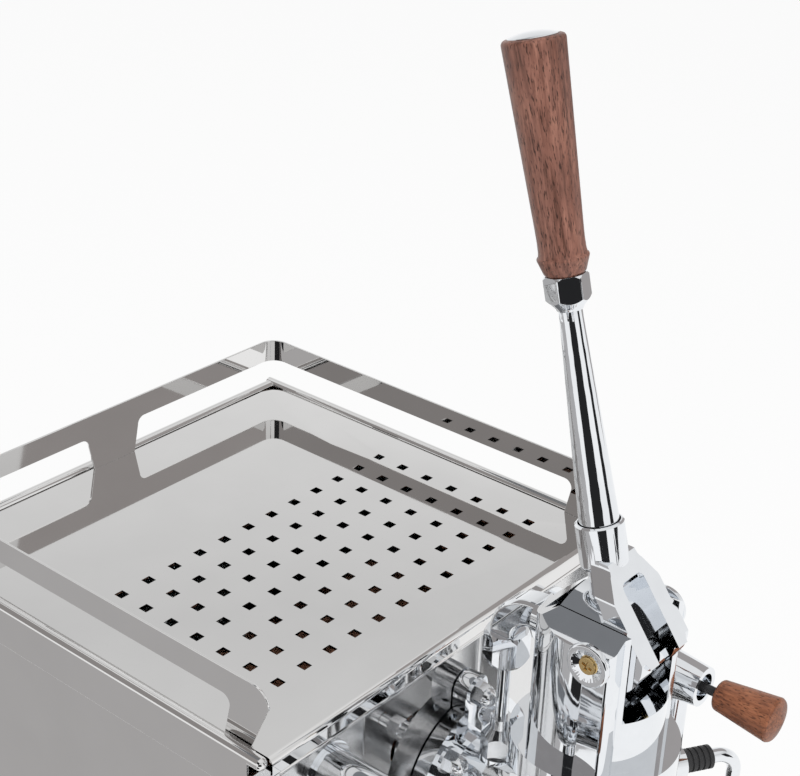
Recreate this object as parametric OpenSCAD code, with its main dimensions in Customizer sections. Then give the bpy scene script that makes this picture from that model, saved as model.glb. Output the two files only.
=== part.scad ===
// Lever espresso machine: a mirror-steel body with a railed cup shelf, a spring-lever group bolted to
// its front, joystick steam and water taps, a bayonet filter holder and a sliding drip tray.
// Millimetres, +Z up, the front looks along -Y and the counter is at z = 0.

/* [Body] */
// Width over the side panels
body_w = 342; // [326:1:372]
// Depth from the cup shelf's front edge to the back panel
body_d = 320; // [310:1:350]
// Height of the cup shelf above the counter
shelf_z = 360; // [350:1:390]
// Height of the rubber feet
foot_h = 18; // [12:1:24]
// Diameter of a foot
foot_dia = 36; // [28:1:44]
// Thickness of the sheet steel
sheet = 1.5; // [1:0.1:2]
// Height of the base pan's walls
pan_h = 46; // [42:1:52]
// Reach of the base in front of the cup shelf's edge
base_out = 152; // [146:1:170]
// Height of the band under the rolled rim
band_h = 25; // [20:1:30]
// Diameter of the rolled rim
roll_dia = 8; // [6:0.5:9]
// Outer corner radius of the side panels
corner_r = 10; // [7:1:12]
// Depth of the front panel's side parts behind the shelf's edge
panel_in = 12; // [10:1:16]
// Extra depth of the bay behind the group
bay_in = 20; // [14:1:24]
// Width of the bay behind the group
bay_w = 136; // [128:1:150]
// Inner bend radius of the front panel
bend_r = 4; // [2:0.5:6]

/* [Cup shelf and rail] */
// Pitch of the square drain holes
hole_pitch = 22; // [20:0.5:23]
// Side of a drain hole
hole_side = 6.5; // [4:0.5:8]
// Holes across the shelf
holes_x = 13; // [9:1:13]
// Rows of holes from front to back
holes_y = 7; // [5:1:9]
// Front row's distance from the shelf's edge
holes_in = 45.5; // [40:0.5:50]
// Gap between the shelf and the rolled rim
shelf_gap = 1.5; // [1:0.1:2.5]
// Drop of the shelf's bent front skirt
skirt_h = 11; // [8:1:13]
// Height of the rail above the shelf
rail_h = 42; // [36:1:50]
// Height of the rail's closed strip
strip_h = 16.5; // [12:0.5:20]
// Corner radius of the rail
rail_r = 13; // [10:1:16]
// Width of the rail's back post at its foot
post_w = 37; // [26:1:44]
// Width of a front leg at its foot
leg_w = 20; // [10:1:24]

/* [Group] */
// Distance of the group's axis in front of the shelf's edge
group_out = 99; // [95:1:104]
// Height of the lever pivot above the shelf
pivot_up = 51.5; // [48:0.5:56]
// Distance of the pivot in front of the group's axis, also the cam's base radius
cam_base = 14; // [13:0.5:15]
// Lever travel in degrees
pull_angle = 105; // [90:1:105]
// Radius of the group's head
head_r = 38.5; // [37:0.5:41]
// Half width of the slot in the head
slot_half = 24; // [23:0.5:25]
// Half width over the head's flat sides
cheek_half = 37; // [36:0.5:38]
// Radius of the head's arched top
arch_r = 56; // [48:0.5:60]
// Height of the head's arch above the pivot, at its crown
arch_up = 22.5; // [21:0.5:24]
// Radius of the ring where the head meets the cylinder
ring_r = 49; // [46:0.5:52]
// Drop of the head's lower face below the shelf
head_drop = 30; // [28:1:33]
// Radius of the cylinder bore
bore_r = 28; // [27:0.5:29]
// Drop of the cylinder's lower end below the shelf
bore_drop = 132; // [128:1:136]
// Drop of the neck's axis below the shelf
neck_drop = 98; // [95:1:101]
// Radius of the bolted flanges
flange_r = 52; // [48:1:54]
// Radius of the stud circle
stud_circle = 36; // [33:0.5:39]
// Radius of a stud
stud_r = 4; // [3:0.5:5]
// Radius of a fork pin
pin_r = 5; // [4:0.5:6]
// Radius of the crosshead pin
follower_r = 5.5; // [4.5:0.5:6]
// Radius of the piston rod
rod_r = 6; // [5:0.5:7]
// Running clearance of pins and rods
fit_gap = 0.05; // [0.02:0.01:0.08]

/* [Lever] */
// Backward lean of the lever in degrees
lean = 14.7; // [10:0.1:18]
// Thickness of the fork's front plate
plate_t = 9; // [7:0.5:10]
// Half width of the fork's window
window_half = 10; // [9.6:0.1:10.5]
// Radius of the fork's socket
socket_r = 13.6; // [13:0.1:15]
// Distance from the pivot to the top of the socket
socket_top = 64.6; // [62:0.5:70]
// Radius of the rod at the socket
lever_r1 = 11.5; // [10:0.5:11.5]
// Radius of the rod at the handle
lever_r2 = 6.3; // [5.5:0.1:7.5]
// Distance from the pivot to the handle's collar
collar_at = 183; // [170:1:200]
// Length of the faceted collar
collar_h = 19; // [14:1:24]
// Length of the wooden handle
handle_h = 121.5; // [105:0.5:135]
// Largest radius of the wooden handle
handle_r = 16.5; // [15:0.5:18]

/* [Taps] */
// Distance of a tap from the side of the body
tap_in = 63; // [56:1:67]
// Drop of a tap's axis below the shelf
tap_drop = 44; // [40:1:48]
// Distance of a tap's ring in front of the shelf's edge
tap_out = 110; // [106:1:114]
// Outer radius of the tap's ring
tap_ring_r = 13; // [12:0.5:14]
// Length of a wooden knob
knob_h = 44; // [36:1:50]
// Radius of a knob's tip
knob_r = 14.5; // [13:0.5:16]
// Drop of the wand's ball joint below the shelf
wand_drop = 114; // [110:1:118]
// Radius of the wand's tube
wand_r = 4.75; // [4:0.25:5.5]
// Length of the hanging part of a wand
wand_h = 133; // [120:1:140]

/* [Filter holder] */
// Reach of the filter holder's handle from the group's axis
holder_reach = 205; // [190:1:225]
// Outer radius of the filter holder's bowl
bowl_r = 34.5; // [33.5:0.25:35]
// Inner radius of the basket
basket_r = 27.5; // [26:0.5:28]
// Radius of the wooden grip
grip_r = 14; // [12:0.5:15]

/* [Inside] */
// Radius of the boiler
boiler_r = 72; // [64:1:74]
// Length of the boiler's straight shell
boiler_l = 190; // [160:1:200]
// Height of the boiler's axis
boiler_z = 235; // [230:1:240]
// Distance of the boiler's axis behind the shelf's edge
boiler_y = 130; // [126:1:134]
// Width of the water tank
tank_w = 210; // [180:1:220]
// Depth of the water tank
tank_d = 80; // [70:1:86]
// Height of the water tank
tank_h = 270; // [220:1:280]

/* [Hidden] */
$fn = 64;
eps = 0.01;

// Finishes
mirror_steel = [0.80, 0.80, 0.81];
chrome = [0.86, 0.87, 0.88];
walnut = [0.36, 0.22, 0.16];
red_wood = [0.60, 0.36, 0.24];
black_rubber = [0.06, 0.06, 0.06];
brass = [0.72, 0.56, 0.30];
copper = [0.72, 0.45, 0.32];
clear_plastic = [0.75, 0.82, 0.85];

// Overall places
socket_flange_t = 2;
front_y = -(body_d + socket_flange_t - group_out - holder_reach) / 2;
half_w = body_w / 2;
tap_x = half_w - tap_in;
pan_top = foot_h + pan_h;
floor_top = foot_h + sheet;
band_bottom = shelf_z - band_h;
roll_r = roll_dia / 2;
roll_z = shelf_z - 1;
shelf_half = half_w - roll_dia - shelf_gap;
shelf_back = body_d - roll_dia - shelf_gap;
ledge_top = shelf_z - sheet;
ledge_w = 13;
return_w = 5;
return_x = half_w - corner_r - return_w;
skirt_bottom = shelf_z - skirt_h;
bar_gap = 0.5;
bar_t = 4;
bar_top = skirt_bottom - bar_gap;
bar_bottom = bar_top - bar_t;
bay_y = panel_in + bay_in;
apron_t = 2;

// Group places
pivot_z = shelf_z + pivot_up;
arch_z = pivot_z + arch_up - arch_r;
head_z = shelf_z - head_drop;
bore_z = shelf_z - bore_drop;
neck_z = shelf_z - neck_drop;
ring_t = 9;
cam_travel = cam_base * pull_angle * PI / 180;
cam_gap = 0.3;
cam_near = follower_r + 1.8;
cam_far = cam_near + cam_travel;
follower_drop = cam_far - follower_r - cam_gap;
cam_lead = 3;
lobe_t = 5;
lobe_tip = norm([cam_base, cam_far + cam_base * cam_lead * PI / 180 + lobe_t]);
slot_floor = pivot_z - lobe_tip - 1.5;
slot_back = lobe_tip + 1.5;
slot_lip = 2.5;
chamber_top = slot_floor - 14;
eye_r = follower_r + 4;
fork_half = slot_half - 0.6;
web_half = fork_half - 6.4;
eye_half = window_half - 0.5;
lobe_half = web_half + 2;
face_lean = 37.5;
face_out = 20.5;
disc_r = 24;
hub_back = 30;
hub_gap = 5;
cap_r = 13;
roof_under = -1;
window_top = 29.8;
window_deep = 14;
window_r = 4;
scoop_r = 38.7;
scoop_at = 0;
socket_deep = 8;
lever_off = 9;
piston_h = 22;
piston_z = bore_z + 3;
flange_t = 15;
flange_in = 11;
flange2_t = 9.5;
gasket_t = 1.5;
front_flange = flange_t - flange_in + gasket_t;
stud_back = 10;
stud_front = 9;
ear_up = 10;
ear_at = flange_r + ear_up;
neck_r1 = 30;
neck_r2 = 24;
water_port = 3;
port_drop = 4;
boss_out = 34;
boss_top = neck_z + neck_r1 - 2;
elbow_bend = 22;
elbow_z = pivot_z - 11;
elbow_back = -group_out + head_r + 4;
tube_r = 4;

// Bayonet places
bell_r = 47;
barrel_r = bore_r + 12;
bell_drop = 32;
bell_z = bore_z - bell_drop;
seat_r = 36;
seal_t = 8.5;
seal_z = bore_z - seal_t;
lug_r = 41;
channel_r = 42.2;
lip_t = 8;
lug_half_angle = 20;
lock_turn = 45;
basket_rim_t = 1.5;
bowl_top = seal_z - basket_rim_t;
bowl_floor = bore_z - 60;
spout_drop = 32;

// Taps
tap_z = shelf_z - tap_drop;
wand_z = shelf_z - wand_drop;
outlet_y = -tap_out + 18;
wand_yaw = -31.5;
ball_r = 7;
nut_len = 10;
grip_len = 20;
grip_gap = 1;
grip_radius = 7.8;
bend_at = nut_len + grip_gap + grip_len + 4;
wand_bend = 15;
stem_r = 3;
stem_len = 27;
ball_deep = 9;
stem_ball_r = 7;
trunnion_r = 2.5;
trunnion_half = 10;

// Drip tray places
tray_gap = 1;
tray_half = half_w - sheet - tray_gap;
tray_back = -1.5;
tray_floor = floor_top + 0.3;
tray_rim = pan_top - 4;
grate_t = 2;

// A run of points on an arc
function arc(c, r, a0, a1, n = 6) =
    [for (i = [0 : n]) let (a = a0 + (a1 - a0) * i / n) c + r * [cos(a), sin(a)]];
function flipped(pts) = [for (i = [len(pts) - 1 : -1 : 0]) pts[i]];
function mirrored_x(pts) = [for (i = [len(pts) - 1 : -1 : 0]) [-pts[i].x, pts[i].y]];
function turned(p, a) = [p.x * cos(a) - p.y * sin(a), p.x * sin(a) + p.y * cos(a)];

// Children placed from the cup shelf's front edge, on the group's axis, at the pivot and on the lever
module from_edge() translate([0, front_y, 0]) children();
module at_group() from_edge() translate([0, -group_out, 0]) children();
module at_pivot() at_group() translate([0, -cam_base, pivot_z]) children();
module at_lever() at_pivot() translate([0, lever_off, 0]) rotate([-lean, 0, 0]) children();
module at_neck() from_edge() translate([0, 0, neck_z]) children();
module at_tap(side) from_edge() translate([side * tap_x, 0, tap_z]) children();
module at_wand(side)
    from_edge() translate([side * tap_x, outlet_y, wand_z]) mirror([side < 0 ? 1 : 0, 0, 0])
    rotate([0, 0, wand_yaw]) children();

// Turned along -Y, along X, or drawn in the side view and run across
module forward() rotate([90, 0, 0]) children();
module across() rotate([0, 90, 0]) children();
module side_view(w) translate([-w / 2, 0, 0]) rotate([90, 0, 90]) linear_extrude(w) children();

// A plan with its two back corners rounded
module back_rounded(half, y0, y1, r) {
    translate([-half, y0]) square([2 * half, y1 - r - y0]);
    translate([-half + r, y0]) square([2 * (half - r), y1 - y0]);
    for (s = [-1, 1]) translate([s * (half - r), y1 - r]) circle(r);
}

module rounded_rect(w, d, r) {
    translate([-w / 2 + r, -d / 2]) square([w - 2 * r, d]);
    translate([-w / 2, -d / 2 + r]) square([w, d - 2 * r]);
    for (sx = [-1, 1], sy = [-1, 1]) translate([sx * (w / 2 - r), sy * (d / 2 - r)]) circle(r);
}

module ring(r1, r2, h) difference() {
    cylinder(r = r1, h = h);
    translate([0, 0, -1]) cylinder(r = r2, h = h + 2);
}

// Casing

module base_pan() color(mirror_steel) from_edge() difference() {
    translate([-half_w, -base_out + apron_t, foot_h]) cube([body_w, base_out - apron_t + body_d, pan_h]);
    translate([-half_w + sheet, -base_out, floor_top])
        cube([body_w - 2 * sheet, base_out + body_d - sheet, pan_h]);
}

module foot_places() from_edge() for (sx = [-1, 1], y = [-base_out + 34, body_d - 34])
    translate([sx * (half_w - 32), y, 0]) children();

module feet() color(black_rubber) foot_places() rotate_extrude()
    polygon([[0, 0], [foot_dia / 2 - 2, 0], [foot_dia / 2, 2], [foot_dia / 2 - 3, foot_h - 4],
             [foot_dia / 2 - 6, foot_h], [0, foot_h]]);

// Plan of a right-hand sheet with its rounded front corner and its front return
module side_plan() {
    translate([half_w - sheet, corner_r]) square([sheet, body_d - corner_r]);
    translate([half_w - corner_r, corner_r]) intersection() {
        difference() {
            circle(corner_r);
            circle(corner_r - sheet);
        }
        translate([0, -corner_r]) square(corner_r);
    }
    translate([return_x, 0]) square([return_w + eps, sheet]);
}

module side_panel() color(mirror_steel) from_edge() translate([0, 0, pan_top])
    linear_extrude(band_bottom - pan_top) {
        side_plan();
        translate([return_x, 0]) square([sheet, panel_in]);
    }

module right_panel() side_panel();
module left_panel() mirror([1, 0, 0]) side_panel();

module back_panel() color(mirror_steel) from_edge() difference() {
    translate([-half_w + sheet, body_d - sheet, pan_top])
        cube([body_w - 2 * sheet, sheet, band_bottom - pan_top]);
    for (i = [-6 : 6]) translate([i * 18 - 3, body_d - sheet - 1, band_bottom - 90])
        cube([6, sheet + 2, 60]);
    translate([inlet_x, body_d - sheet - 1, inlet_z]) translate([-inlet_w / 2, 0, -inlet_h / 2])
        cube([inlet_w, sheet + 2, inlet_h]);
}

module side_rim() color(mirror_steel) from_edge() {
    translate([0, 0, band_bottom]) linear_extrude(bar_top - band_bottom) side_plan();
    translate([half_w - sheet, corner_r, band_bottom])
        cube([sheet, body_d - corner_r, roll_z - band_bottom]);
    translate([half_w - roll_r, roll_r, roll_z]) rotate([-90, 0, 0])
        cylinder(r = roll_r, h = body_d - roll_r);
    translate([half_w - roll_r, roll_r, roll_z]) sphere(roll_r);
    translate([half_w - roll_r - ledge_w - shelf_gap, corner_r + 4, ledge_top - sheet])
        cube([ledge_w + shelf_gap, body_d - corner_r - roll_dia - rail_r, sheet]);
}

module rim_right() side_rim();
module rim_left() mirror([1, 0, 0]) side_rim();

module rim_back() color(mirror_steel) from_edge() {
    inner = half_w - roll_dia;
    translate([-half_w + sheet, body_d - sheet, band_bottom])
        cube([body_w - 2 * sheet, sheet, roll_z - roll_r - band_bottom - bar_gap]);
    translate([-inner, body_d - sheet, band_bottom]) cube([2 * inner, sheet, roll_z - band_bottom]);
    translate([-inner, body_d - roll_r, roll_z]) across() cylinder(r = roll_r, h = 2 * inner);
    translate([-inner + 30, body_d - roll_r - ledge_w - shelf_gap, ledge_top - sheet])
        cube([2 * inner - 60, ledge_w + shelf_gap, sheet]);
}

// Front panel: side parts, and a bay behind the group with rounded corners
function left_face(o) = concat(
    [[-half_w + sheet, panel_in + o]],
    arc([-bay_w / 2 - bend_r - sheet, panel_in + bend_r + sheet], bend_r + sheet - o, -90, 0),
    arc([-bay_w / 2 + bend_r, bay_y - bend_r], bend_r + o, 180, 90));
function panel_face(o) = concat(left_face(o), mirrored_x(left_face(o)));

module front_panel() color(mirror_steel) from_edge() difference() {
    translate([0, 0, floor_top]) linear_extrude(bar_bottom - floor_top)
        polygon(concat(panel_face(0), flipped(panel_face(sheet))));
    translate([0, bay_y + sheet + 1, neck_z]) forward() cylinder(r = neck_tube_r + 2, h = sheet + 2);
    translate([feed_x, bay_y + sheet + 1, feed_z]) forward() cylinder(r = tube_r + 0.3, h = sheet + 2);
    for (s = [-1, 1]) translate([s * tap_x, panel_in + sheet + 1, tap_z]) forward()
        cylinder(r = valve_tail_r + 0.3, h = sheet + 2);
    translate([tap_x, panel_in + sheet + 1, gauge_z]) forward() cylinder(r = gauge_r + 0.3, h = sheet + 2);
    translate([-tap_x - switch_w / 2, panel_in - 1, gauge_z - switch_h / 2])
        cube([switch_w, sheet + 2, switch_h]);
}

module front_bar() color(mirror_steel) from_edge() {
    length = 2 * (return_x - bar_gap);
    translate([-length / 2, bar_t / 2, bar_bottom]) cube([length, bay_y + sheet - bar_t / 2, bar_t]);
    translate([-length / 2, bar_t / 2, bar_bottom + bar_t / 2]) across() cylinder(d = bar_t, h = length);
}

shelf_nose = 4;
module shelf_profile() {
    translate([shelf_nose, shelf_z - shelf_nose]) intersection() {
        difference() {
            circle(shelf_nose);
            circle(shelf_nose - sheet);
        }
        translate([-shelf_nose, 0]) square(shelf_nose);
    }
    translate([0, skirt_bottom]) square([sheet, skirt_h - shelf_nose]);
    translate([shelf_nose, ledge_top]) square([shelf_back - shelf_nose + 2, sheet]);
}

module cup_shelf() color(mirror_steel) from_edge() difference() {
    intersection() {
        side_view(2 * shelf_half + 4) shelf_profile();
        translate([0, 0, skirt_bottom - 1]) linear_extrude(skirt_h + 2)
            back_rounded(shelf_half, -2, shelf_back, rail_r);
    }
    for (i = [0 : holes_x - 1], j = [0 : holes_y - 1])
        translate([(i - (holes_x - 1) / 2) * hole_pitch - hole_side / 2,
                   holes_in + j * hole_pitch - hole_side / 2, ledge_top - 1])
        cube([hole_side, hole_side, sheet + 2]);
}

// Rail: a closed strip on three sides, a back post and two slanted front legs
module rail_leg(s) {
    win = rail_h - strip_h;
    lead = 3;
    foot = 16;
    end = foot + leg_w + 12;
    translate([s * (shelf_half - sheet / 2), 0, shelf_z]) side_view(sheet) polygon(concat(
        [[foot, 0], [foot + leg_w, 0], [foot + leg_w - 4, win - 6]],
        arc([foot + leg_w + 2, win - 6], 6, 180, 90),
        [[end, win], [end, rail_h]],
        arc([lead + 12, rail_h - 12], 12, 90, 175)));
}

module cup_rail() color(mirror_steel) from_edge() {
    win = rail_h - strip_h;
    start = 30;
    translate([0, 0, shelf_z + win]) linear_extrude(strip_h) difference() {
        back_rounded(shelf_half, start, shelf_back, rail_r);
        back_rounded(shelf_half - sheet, start - 1, shelf_back - sheet, rail_r - sheet);
    }
    rail_leg(-1);
    rail_leg(1);
    half = [[post_w / 2, 0], [post_w / 2 + 4, win - 6]];
    right = concat(half, arc([post_w / 2 + 10, win - 6], 6, 180, 90), [[post_w / 2 + 10, win + 1]]);
    translate([0, shelf_back, shelf_z]) forward() linear_extrude(sheet)
        polygon(concat(right, mirrored_x(right)));
}

// Inside the body

tank_wall = 2.5;
tank_corner = 12;
tank_side_gap = 20;
tank_back_gap = 5;
tank_front = body_d - sheet - tank_back_gap - tank_d;
module water_tank() color(clear_plastic) from_edge()
    translate([-half_w + tank_side_gap + tank_w / 2, tank_front + tank_d / 2, floor_top]) difference() {
        linear_extrude(tank_h) rounded_rect(tank_w, tank_d, tank_corner);
        translate([0, 0, tank_wall]) linear_extrude(tank_h)
            rounded_rect(tank_w - 2 * tank_wall, tank_d - 2 * tank_wall, tank_corner - tank_wall);
    }

boiler_wall = 2;
boiler_dome = 20;
leg_in = 30;
leg_t = 4;
leg_d = 80;
element_r = 20;
neck_tube_r = 20;
neck_joint = bay_y + 13;
neck_bore = 8;

module at_boiler() from_edge() translate([0, boiler_y, boiler_z]) children();

// Shell with a shallow dome on its left end, a slice of the right sphere
module boiler_outline(r) {
    big = (r * r + boiler_dome * boiler_dome) / (2 * boiler_dome);
    across() rotate_extrude() {
        square([r, boiler_l]);
        intersection() {
            translate([0, big - boiler_dome]) circle(big, $fn = 128);
            translate([0, -boiler_dome]) square([r, boiler_dome + eps]);
        }
    }
}

module boiler() color(copper) {
    at_boiler() difference() {
        union() {
            translate([-boiler_l / 2, 0, 0]) boiler_outline(boiler_r);
            for (s = [-1, 1])
                translate([s * (boiler_l / 2 - leg_in) - leg_t / 2, -leg_d / 2, floor_top - boiler_z])
                cube([leg_t, leg_d, boiler_z - floor_top - boiler_r / 2]);
            translate([0, neck_joint - boiler_y, neck_z - boiler_z]) rotate([-90, 0, 0])
                cylinder(r = neck_tube_r, h = boiler_y - neck_joint - boiler_r / 2);
        }
        translate([-boiler_l / 2 + boiler_wall, 0, 0]) across()
            cylinder(r = boiler_r - boiler_wall, h = boiler_l - 2 * boiler_wall - 2);
        across() cylinder(r = element_r, h = boiler_l);
        translate([0, neck_joint - boiler_y - 1, neck_z - boiler_z]) rotate([-90, 0, 0])
            cylinder(r = neck_bore, h = boiler_y - neck_joint);
    }
}

element_cap_r = 30;
element_cap_t = 6;
element_nut_r = 16;
element_nut_t = 14;
element_plug = 12;
element_len = 120;
element_bend = 10;
element_rod_r = 4;
module heating_element() color(brass) at_boiler() {
    translate([boiler_l / 2, 0, 0]) across() cylinder(r = element_cap_r, h = element_cap_t);
    translate([boiler_l / 2 + element_cap_t, 0, 0]) across()
        cylinder(r = element_nut_r, h = element_nut_t, $fn = 6);
    translate([boiler_l / 2 - element_plug, 0, 0]) across()
        cylinder(r = element_r - 0.3, h = element_plug + eps);
    for (s = [-1, 1]) translate([boiler_l / 2 - element_len, 0, s * element_bend]) across()
        cylinder(r = element_rod_r, h = element_len - element_plug + 2);
    translate([boiler_l / 2 - element_len, 0, 0]) forward() rotate([0, 0, 90]) rotate_extrude(angle = 180)
        translate([element_bend, 0]) circle(element_rod_r);
}

// Pump: in front of the tank, along the right-hand wall
pump_r = 32;
pump_len = 106;
pump_rise = 44;
pump_nose_r = 18;
pump_nose = 18;
pump_port_r = 5;
pump_port = 24;
pump_foot_w = 52;
pump_foot_d = 80;
pump_wall_gap = 8;
pump_tank_gap = 6;
pump_x = half_w - sheet - pump_wall_gap - pump_r;
pump_y = tank_front - pump_tank_gap - pump_len;
module pump() color([0.25, 0.26, 0.28]) from_edge() translate([pump_x, pump_y, floor_top]) {
    difference() {
        translate([-pump_foot_w / 2, (pump_len - pump_foot_d) / 2, 0])
            cube([pump_foot_w, pump_foot_d, pump_rise]);
        translate([0, -1, pump_rise]) rotate([-90, 0, 0]) cylinder(r = pump_r - 2, h = pump_len + 2);
    }
    translate([0, 0, pump_rise]) rotate([-90, 0, 0]) cylinder(r = pump_r, h = pump_len);
    translate([0, -pump_nose, pump_rise]) rotate([-90, 0, 0]) cylinder(r = pump_nose_r, h = pump_nose + 1);
    translate([0, -pump_nose / 2, pump_rise]) across()
        cylinder(r = pump_port_r, h = 2 * pump_port + 4, center = true);
}

inlet_in = 61;
inlet_up = 40;
inlet_x = half_w - inlet_in;
inlet_z = pan_top + inlet_up;
inlet_w = 27;
inlet_h = 20;
module inlet_socket() color(black_rubber) from_edge() translate([inlet_x, body_d, inlet_z]) difference() {
    union() {
        translate([-inlet_w / 2 - 9, 0, -inlet_h / 2 - 2.5])
            cube([inlet_w + 18, socket_flange_t, inlet_h + 5]);
        translate([-inlet_w / 2 + 0.2, -20, -inlet_h / 2 + 0.2])
            cube([inlet_w - 0.4, 20 + eps, inlet_h - 0.4]);
    }
    translate([-inlet_w / 2 + 2, -16, -inlet_h / 2 + 2]) cube([inlet_w - 4, 30, inlet_h - 4]);
}

gauge_r = 24;
gauge_drop = 165;
gauge_deep = 30;
gauge_rim = 4;
gauge_rim_t = 5;
gauge_sink = 2.5;
gauge_stub = 12;
gauge_stub_r = 6;
gauge_z = shelf_z - gauge_drop;
module gauge_case() color(chrome) from_edge() translate([tap_x, panel_in, gauge_z]) difference() {
    union() {
        forward() cylinder(r1 = gauge_r + gauge_rim, r2 = gauge_r + gauge_rim / 2, h = gauge_rim_t);
        translate([0, gauge_deep, 0]) forward() cylinder(r = gauge_r, h = gauge_deep + eps);
        translate([0, gauge_deep + gauge_stub, 0]) forward() cylinder(r = gauge_stub_r, h = gauge_stub + 1);
    }
    translate([0, -gauge_rim_t + gauge_sink, 0]) forward() cylinder(r = gauge_r - 1, h = gauge_rim_t);
}

switch_w = 24;
switch_h = 34;
module at_switch() from_edge() translate([-tap_x, panel_in, gauge_z]) children();

module switch_frame() color(black_rubber) at_switch() difference() {
    union() {
        translate([-switch_w / 2 - 2.5, -2, -switch_h / 2 - 2.5]) cube([switch_w + 5, 2, switch_h + 5]);
        translate([-switch_w / 2 + 0.2, -eps, -switch_h / 2 + 0.2])
            cube([switch_w - 0.4, 22, switch_h - 0.4]);
    }
    translate([-switch_w / 2 + 2, -3, -switch_h / 2 + 2]) cube([switch_w - 4, 22, switch_h - 4]);
    translate([0, 8, 0]) across() cylinder(r = 2 + fit_gap, h = switch_w - 1, center = true);
}

module switch_rocker() color([0.12, 0.12, 0.12]) at_switch() translate([0, 8, 0]) {
    half = switch_h / 2 - 2.6;
    tilt = 8;
    side_view(switch_w - 5) polygon(concat(
        [[5, -4], [5, 4]],
        [[-4, half - 1.5], [-4 - half * tan(tilt) * 2, half - 1.5]],
        [[-5.5, 0], [-4, -half + 1.5]]));
    across() cylinder(r = 2, h = switch_w - 2, center = true);
}

// Group mounting

module flange_outline(h) {
    cylinder(r = flange_r, h = h);
    translate([-11, 0, 0]) cube([22, flange_r + ear_up, h]);
    translate([0, flange_r + ear_up, 0]) cylinder(r = 11, h = h);
}

module ear_place() translate([0, ear_at, 0]) children();
module stud_places() {
    for (a = [45 : 90 : 315]) rotate([0, 0, a]) translate([stud_circle, 0, 0]) children();
    ear_place() children();
}
stud_floor = 4;
rim_hole_r = 2.5;
rim_hole_deep = 8;
rim_hole_angle = 18;
module flange_cuts(h, floor) {
    translate([0, 0, -1]) cylinder(r = neck_bore, h = h + 2);
    translate([0, 0, floor]) stud_places() cylinder(r = stud_r + 0.2, h = h + 2);
    translate([0, 0, -1]) ear_place() cylinder(r = stud_r + 0.2, h = h + 2);
    for (s = [-1, 1]) rotate([0, 0, 90 + s * rim_hole_angle])
        translate([flange_r - rim_hole_deep, 0, h / 2])
        across() cylinder(r = rim_hole_r, h = rim_hole_deep + 2);
}
// On the neck's axis the local height is zero at the shelf's edge and grows forward
module mounting_flange() color(chrome) at_neck() forward() difference() {
    union() {
        translate([0, 0, -flange_in]) flange_outline(flange_t);
        translate([0, 0, -neck_joint]) cylinder(r = neck_tube_r, h = neck_joint);
    }
    translate([0, 0, -neck_joint - 1]) cylinder(r = neck_bore, h = neck_joint + 20);
    translate([0, 0, -flange_in]) flange_cuts(flange_t, stud_floor);
}

module flange_gasket() color([0.30, 0.22, 0.18]) at_neck() forward() translate([0, 0, flange_t - flange_in])
    ring(stud_circle - stud_r - 2, neck_bore, gasket_t);

// Four studs screwed into the rear flange, and a through bolt in the ear
module flange_studs() color(chrome) at_neck() forward() {
    length = front_flange + flange2_t + stud_front + flange_in;
    translate([0, 0, -flange_in + stud_floor]) stud_places() cylinder(r = stud_r, h = length - stud_floor);
    translate([0, 0, -flange_in - stud_back]) ear_place() cylinder(r = stud_r, h = length + stud_back);
}

nut_af = 13;
module cap_nut() {
    ring(nut_af / 2 + 2, stud_r + 0.1, 1.2);
    translate([0, 0, 1.2]) difference() {
        union() {
            intersection() {
                cylinder(d = nut_af / cos(30), h = 7, $fn = 6);
                cylinder(r1 = nut_af / 2 + 3, r2 = nut_af / 2 + 0.2, h = 7);
            }
            translate([0, 0, 7]) sphere(nut_af / 2 - 0.4);
        }
        translate([0, 0, -1]) cylinder(r = stud_r + 0.1, h = 12);
    }
}
module flange_nuts() color(chrome) at_neck() forward() {
    translate([0, 0, front_flange + flange2_t]) stud_places() cap_nut();
    translate([0, 0, -flange_in]) ear_place() mirror([0, 0, 1]) cap_nut();
}

module group_cylinder() color(chrome) difference() {
    union() {
        at_group() rotate_extrude() polygon([[0, bell_z], [bell_r - 1.5, bell_z], [bell_r, bell_z + 1.5],
            [bell_r, bore_z + 12], [barrel_r, bore_z + 22], [barrel_r, head_z - ring_t],
            [ring_r - 1, head_z - ring_t], [ring_r, head_z - ring_t + 1], [ring_r, head_z], [0, head_z]]);
        at_neck() forward() {
            translate([0, 0, front_flange]) flange_outline(flange2_t);
            translate([0, 0, front_flange + 2])
                cylinder(r1 = neck_r2, r2 = neck_r1, h = group_out - front_flange - bore_r - 8);
        }
        from_edge() translate([0, -boss_out, neck_z]) cylinder(r = 12, h = boss_top - neck_z);
    }
    at_neck() forward() translate([0, 0, front_flange]) flange_cuts(flange2_t, -1);
    at_neck() translate([0, -front_flange, -port_drop]) forward()
        cylinder(r = water_port, h = group_out - front_flange - bore_r / 2);
    at_group() {
        translate([0, 0, bell_z - 1]) cylinder(r = seat_r, h = bell_drop + 1);
        translate([0, 0, bore_z - 1]) cylinder(r = bore_r, h = head_z);
        translate([0, 0, bell_z + lip_t]) cylinder(r = channel_r, h = bell_drop - lip_t - seal_t - 2);
        for (a = [0, 180]) rotate([0, 0, a - lock_turn]) translate([0, 0, bell_z - 1])
            rotate([0, 0, -lug_half_angle - 4]) rotate_extrude(angle = 2 * lug_half_angle + 8)
            translate([seat_r - 2, 0]) square([lug_r + 0.8 - seat_r + 2, lip_t + 3]);
    }
}

module head_block() {
    translate([0, 0, head_z]) cylinder(r = head_r, h = pivot_z + arch_up - head_z);
    translate([0, -cam_base, head_z]) linear_extrude(pivot_z + arch_up - head_z)
        translate([0, -2]) rounded_rect(2 * cheek_half, 24, 4);
}

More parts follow.
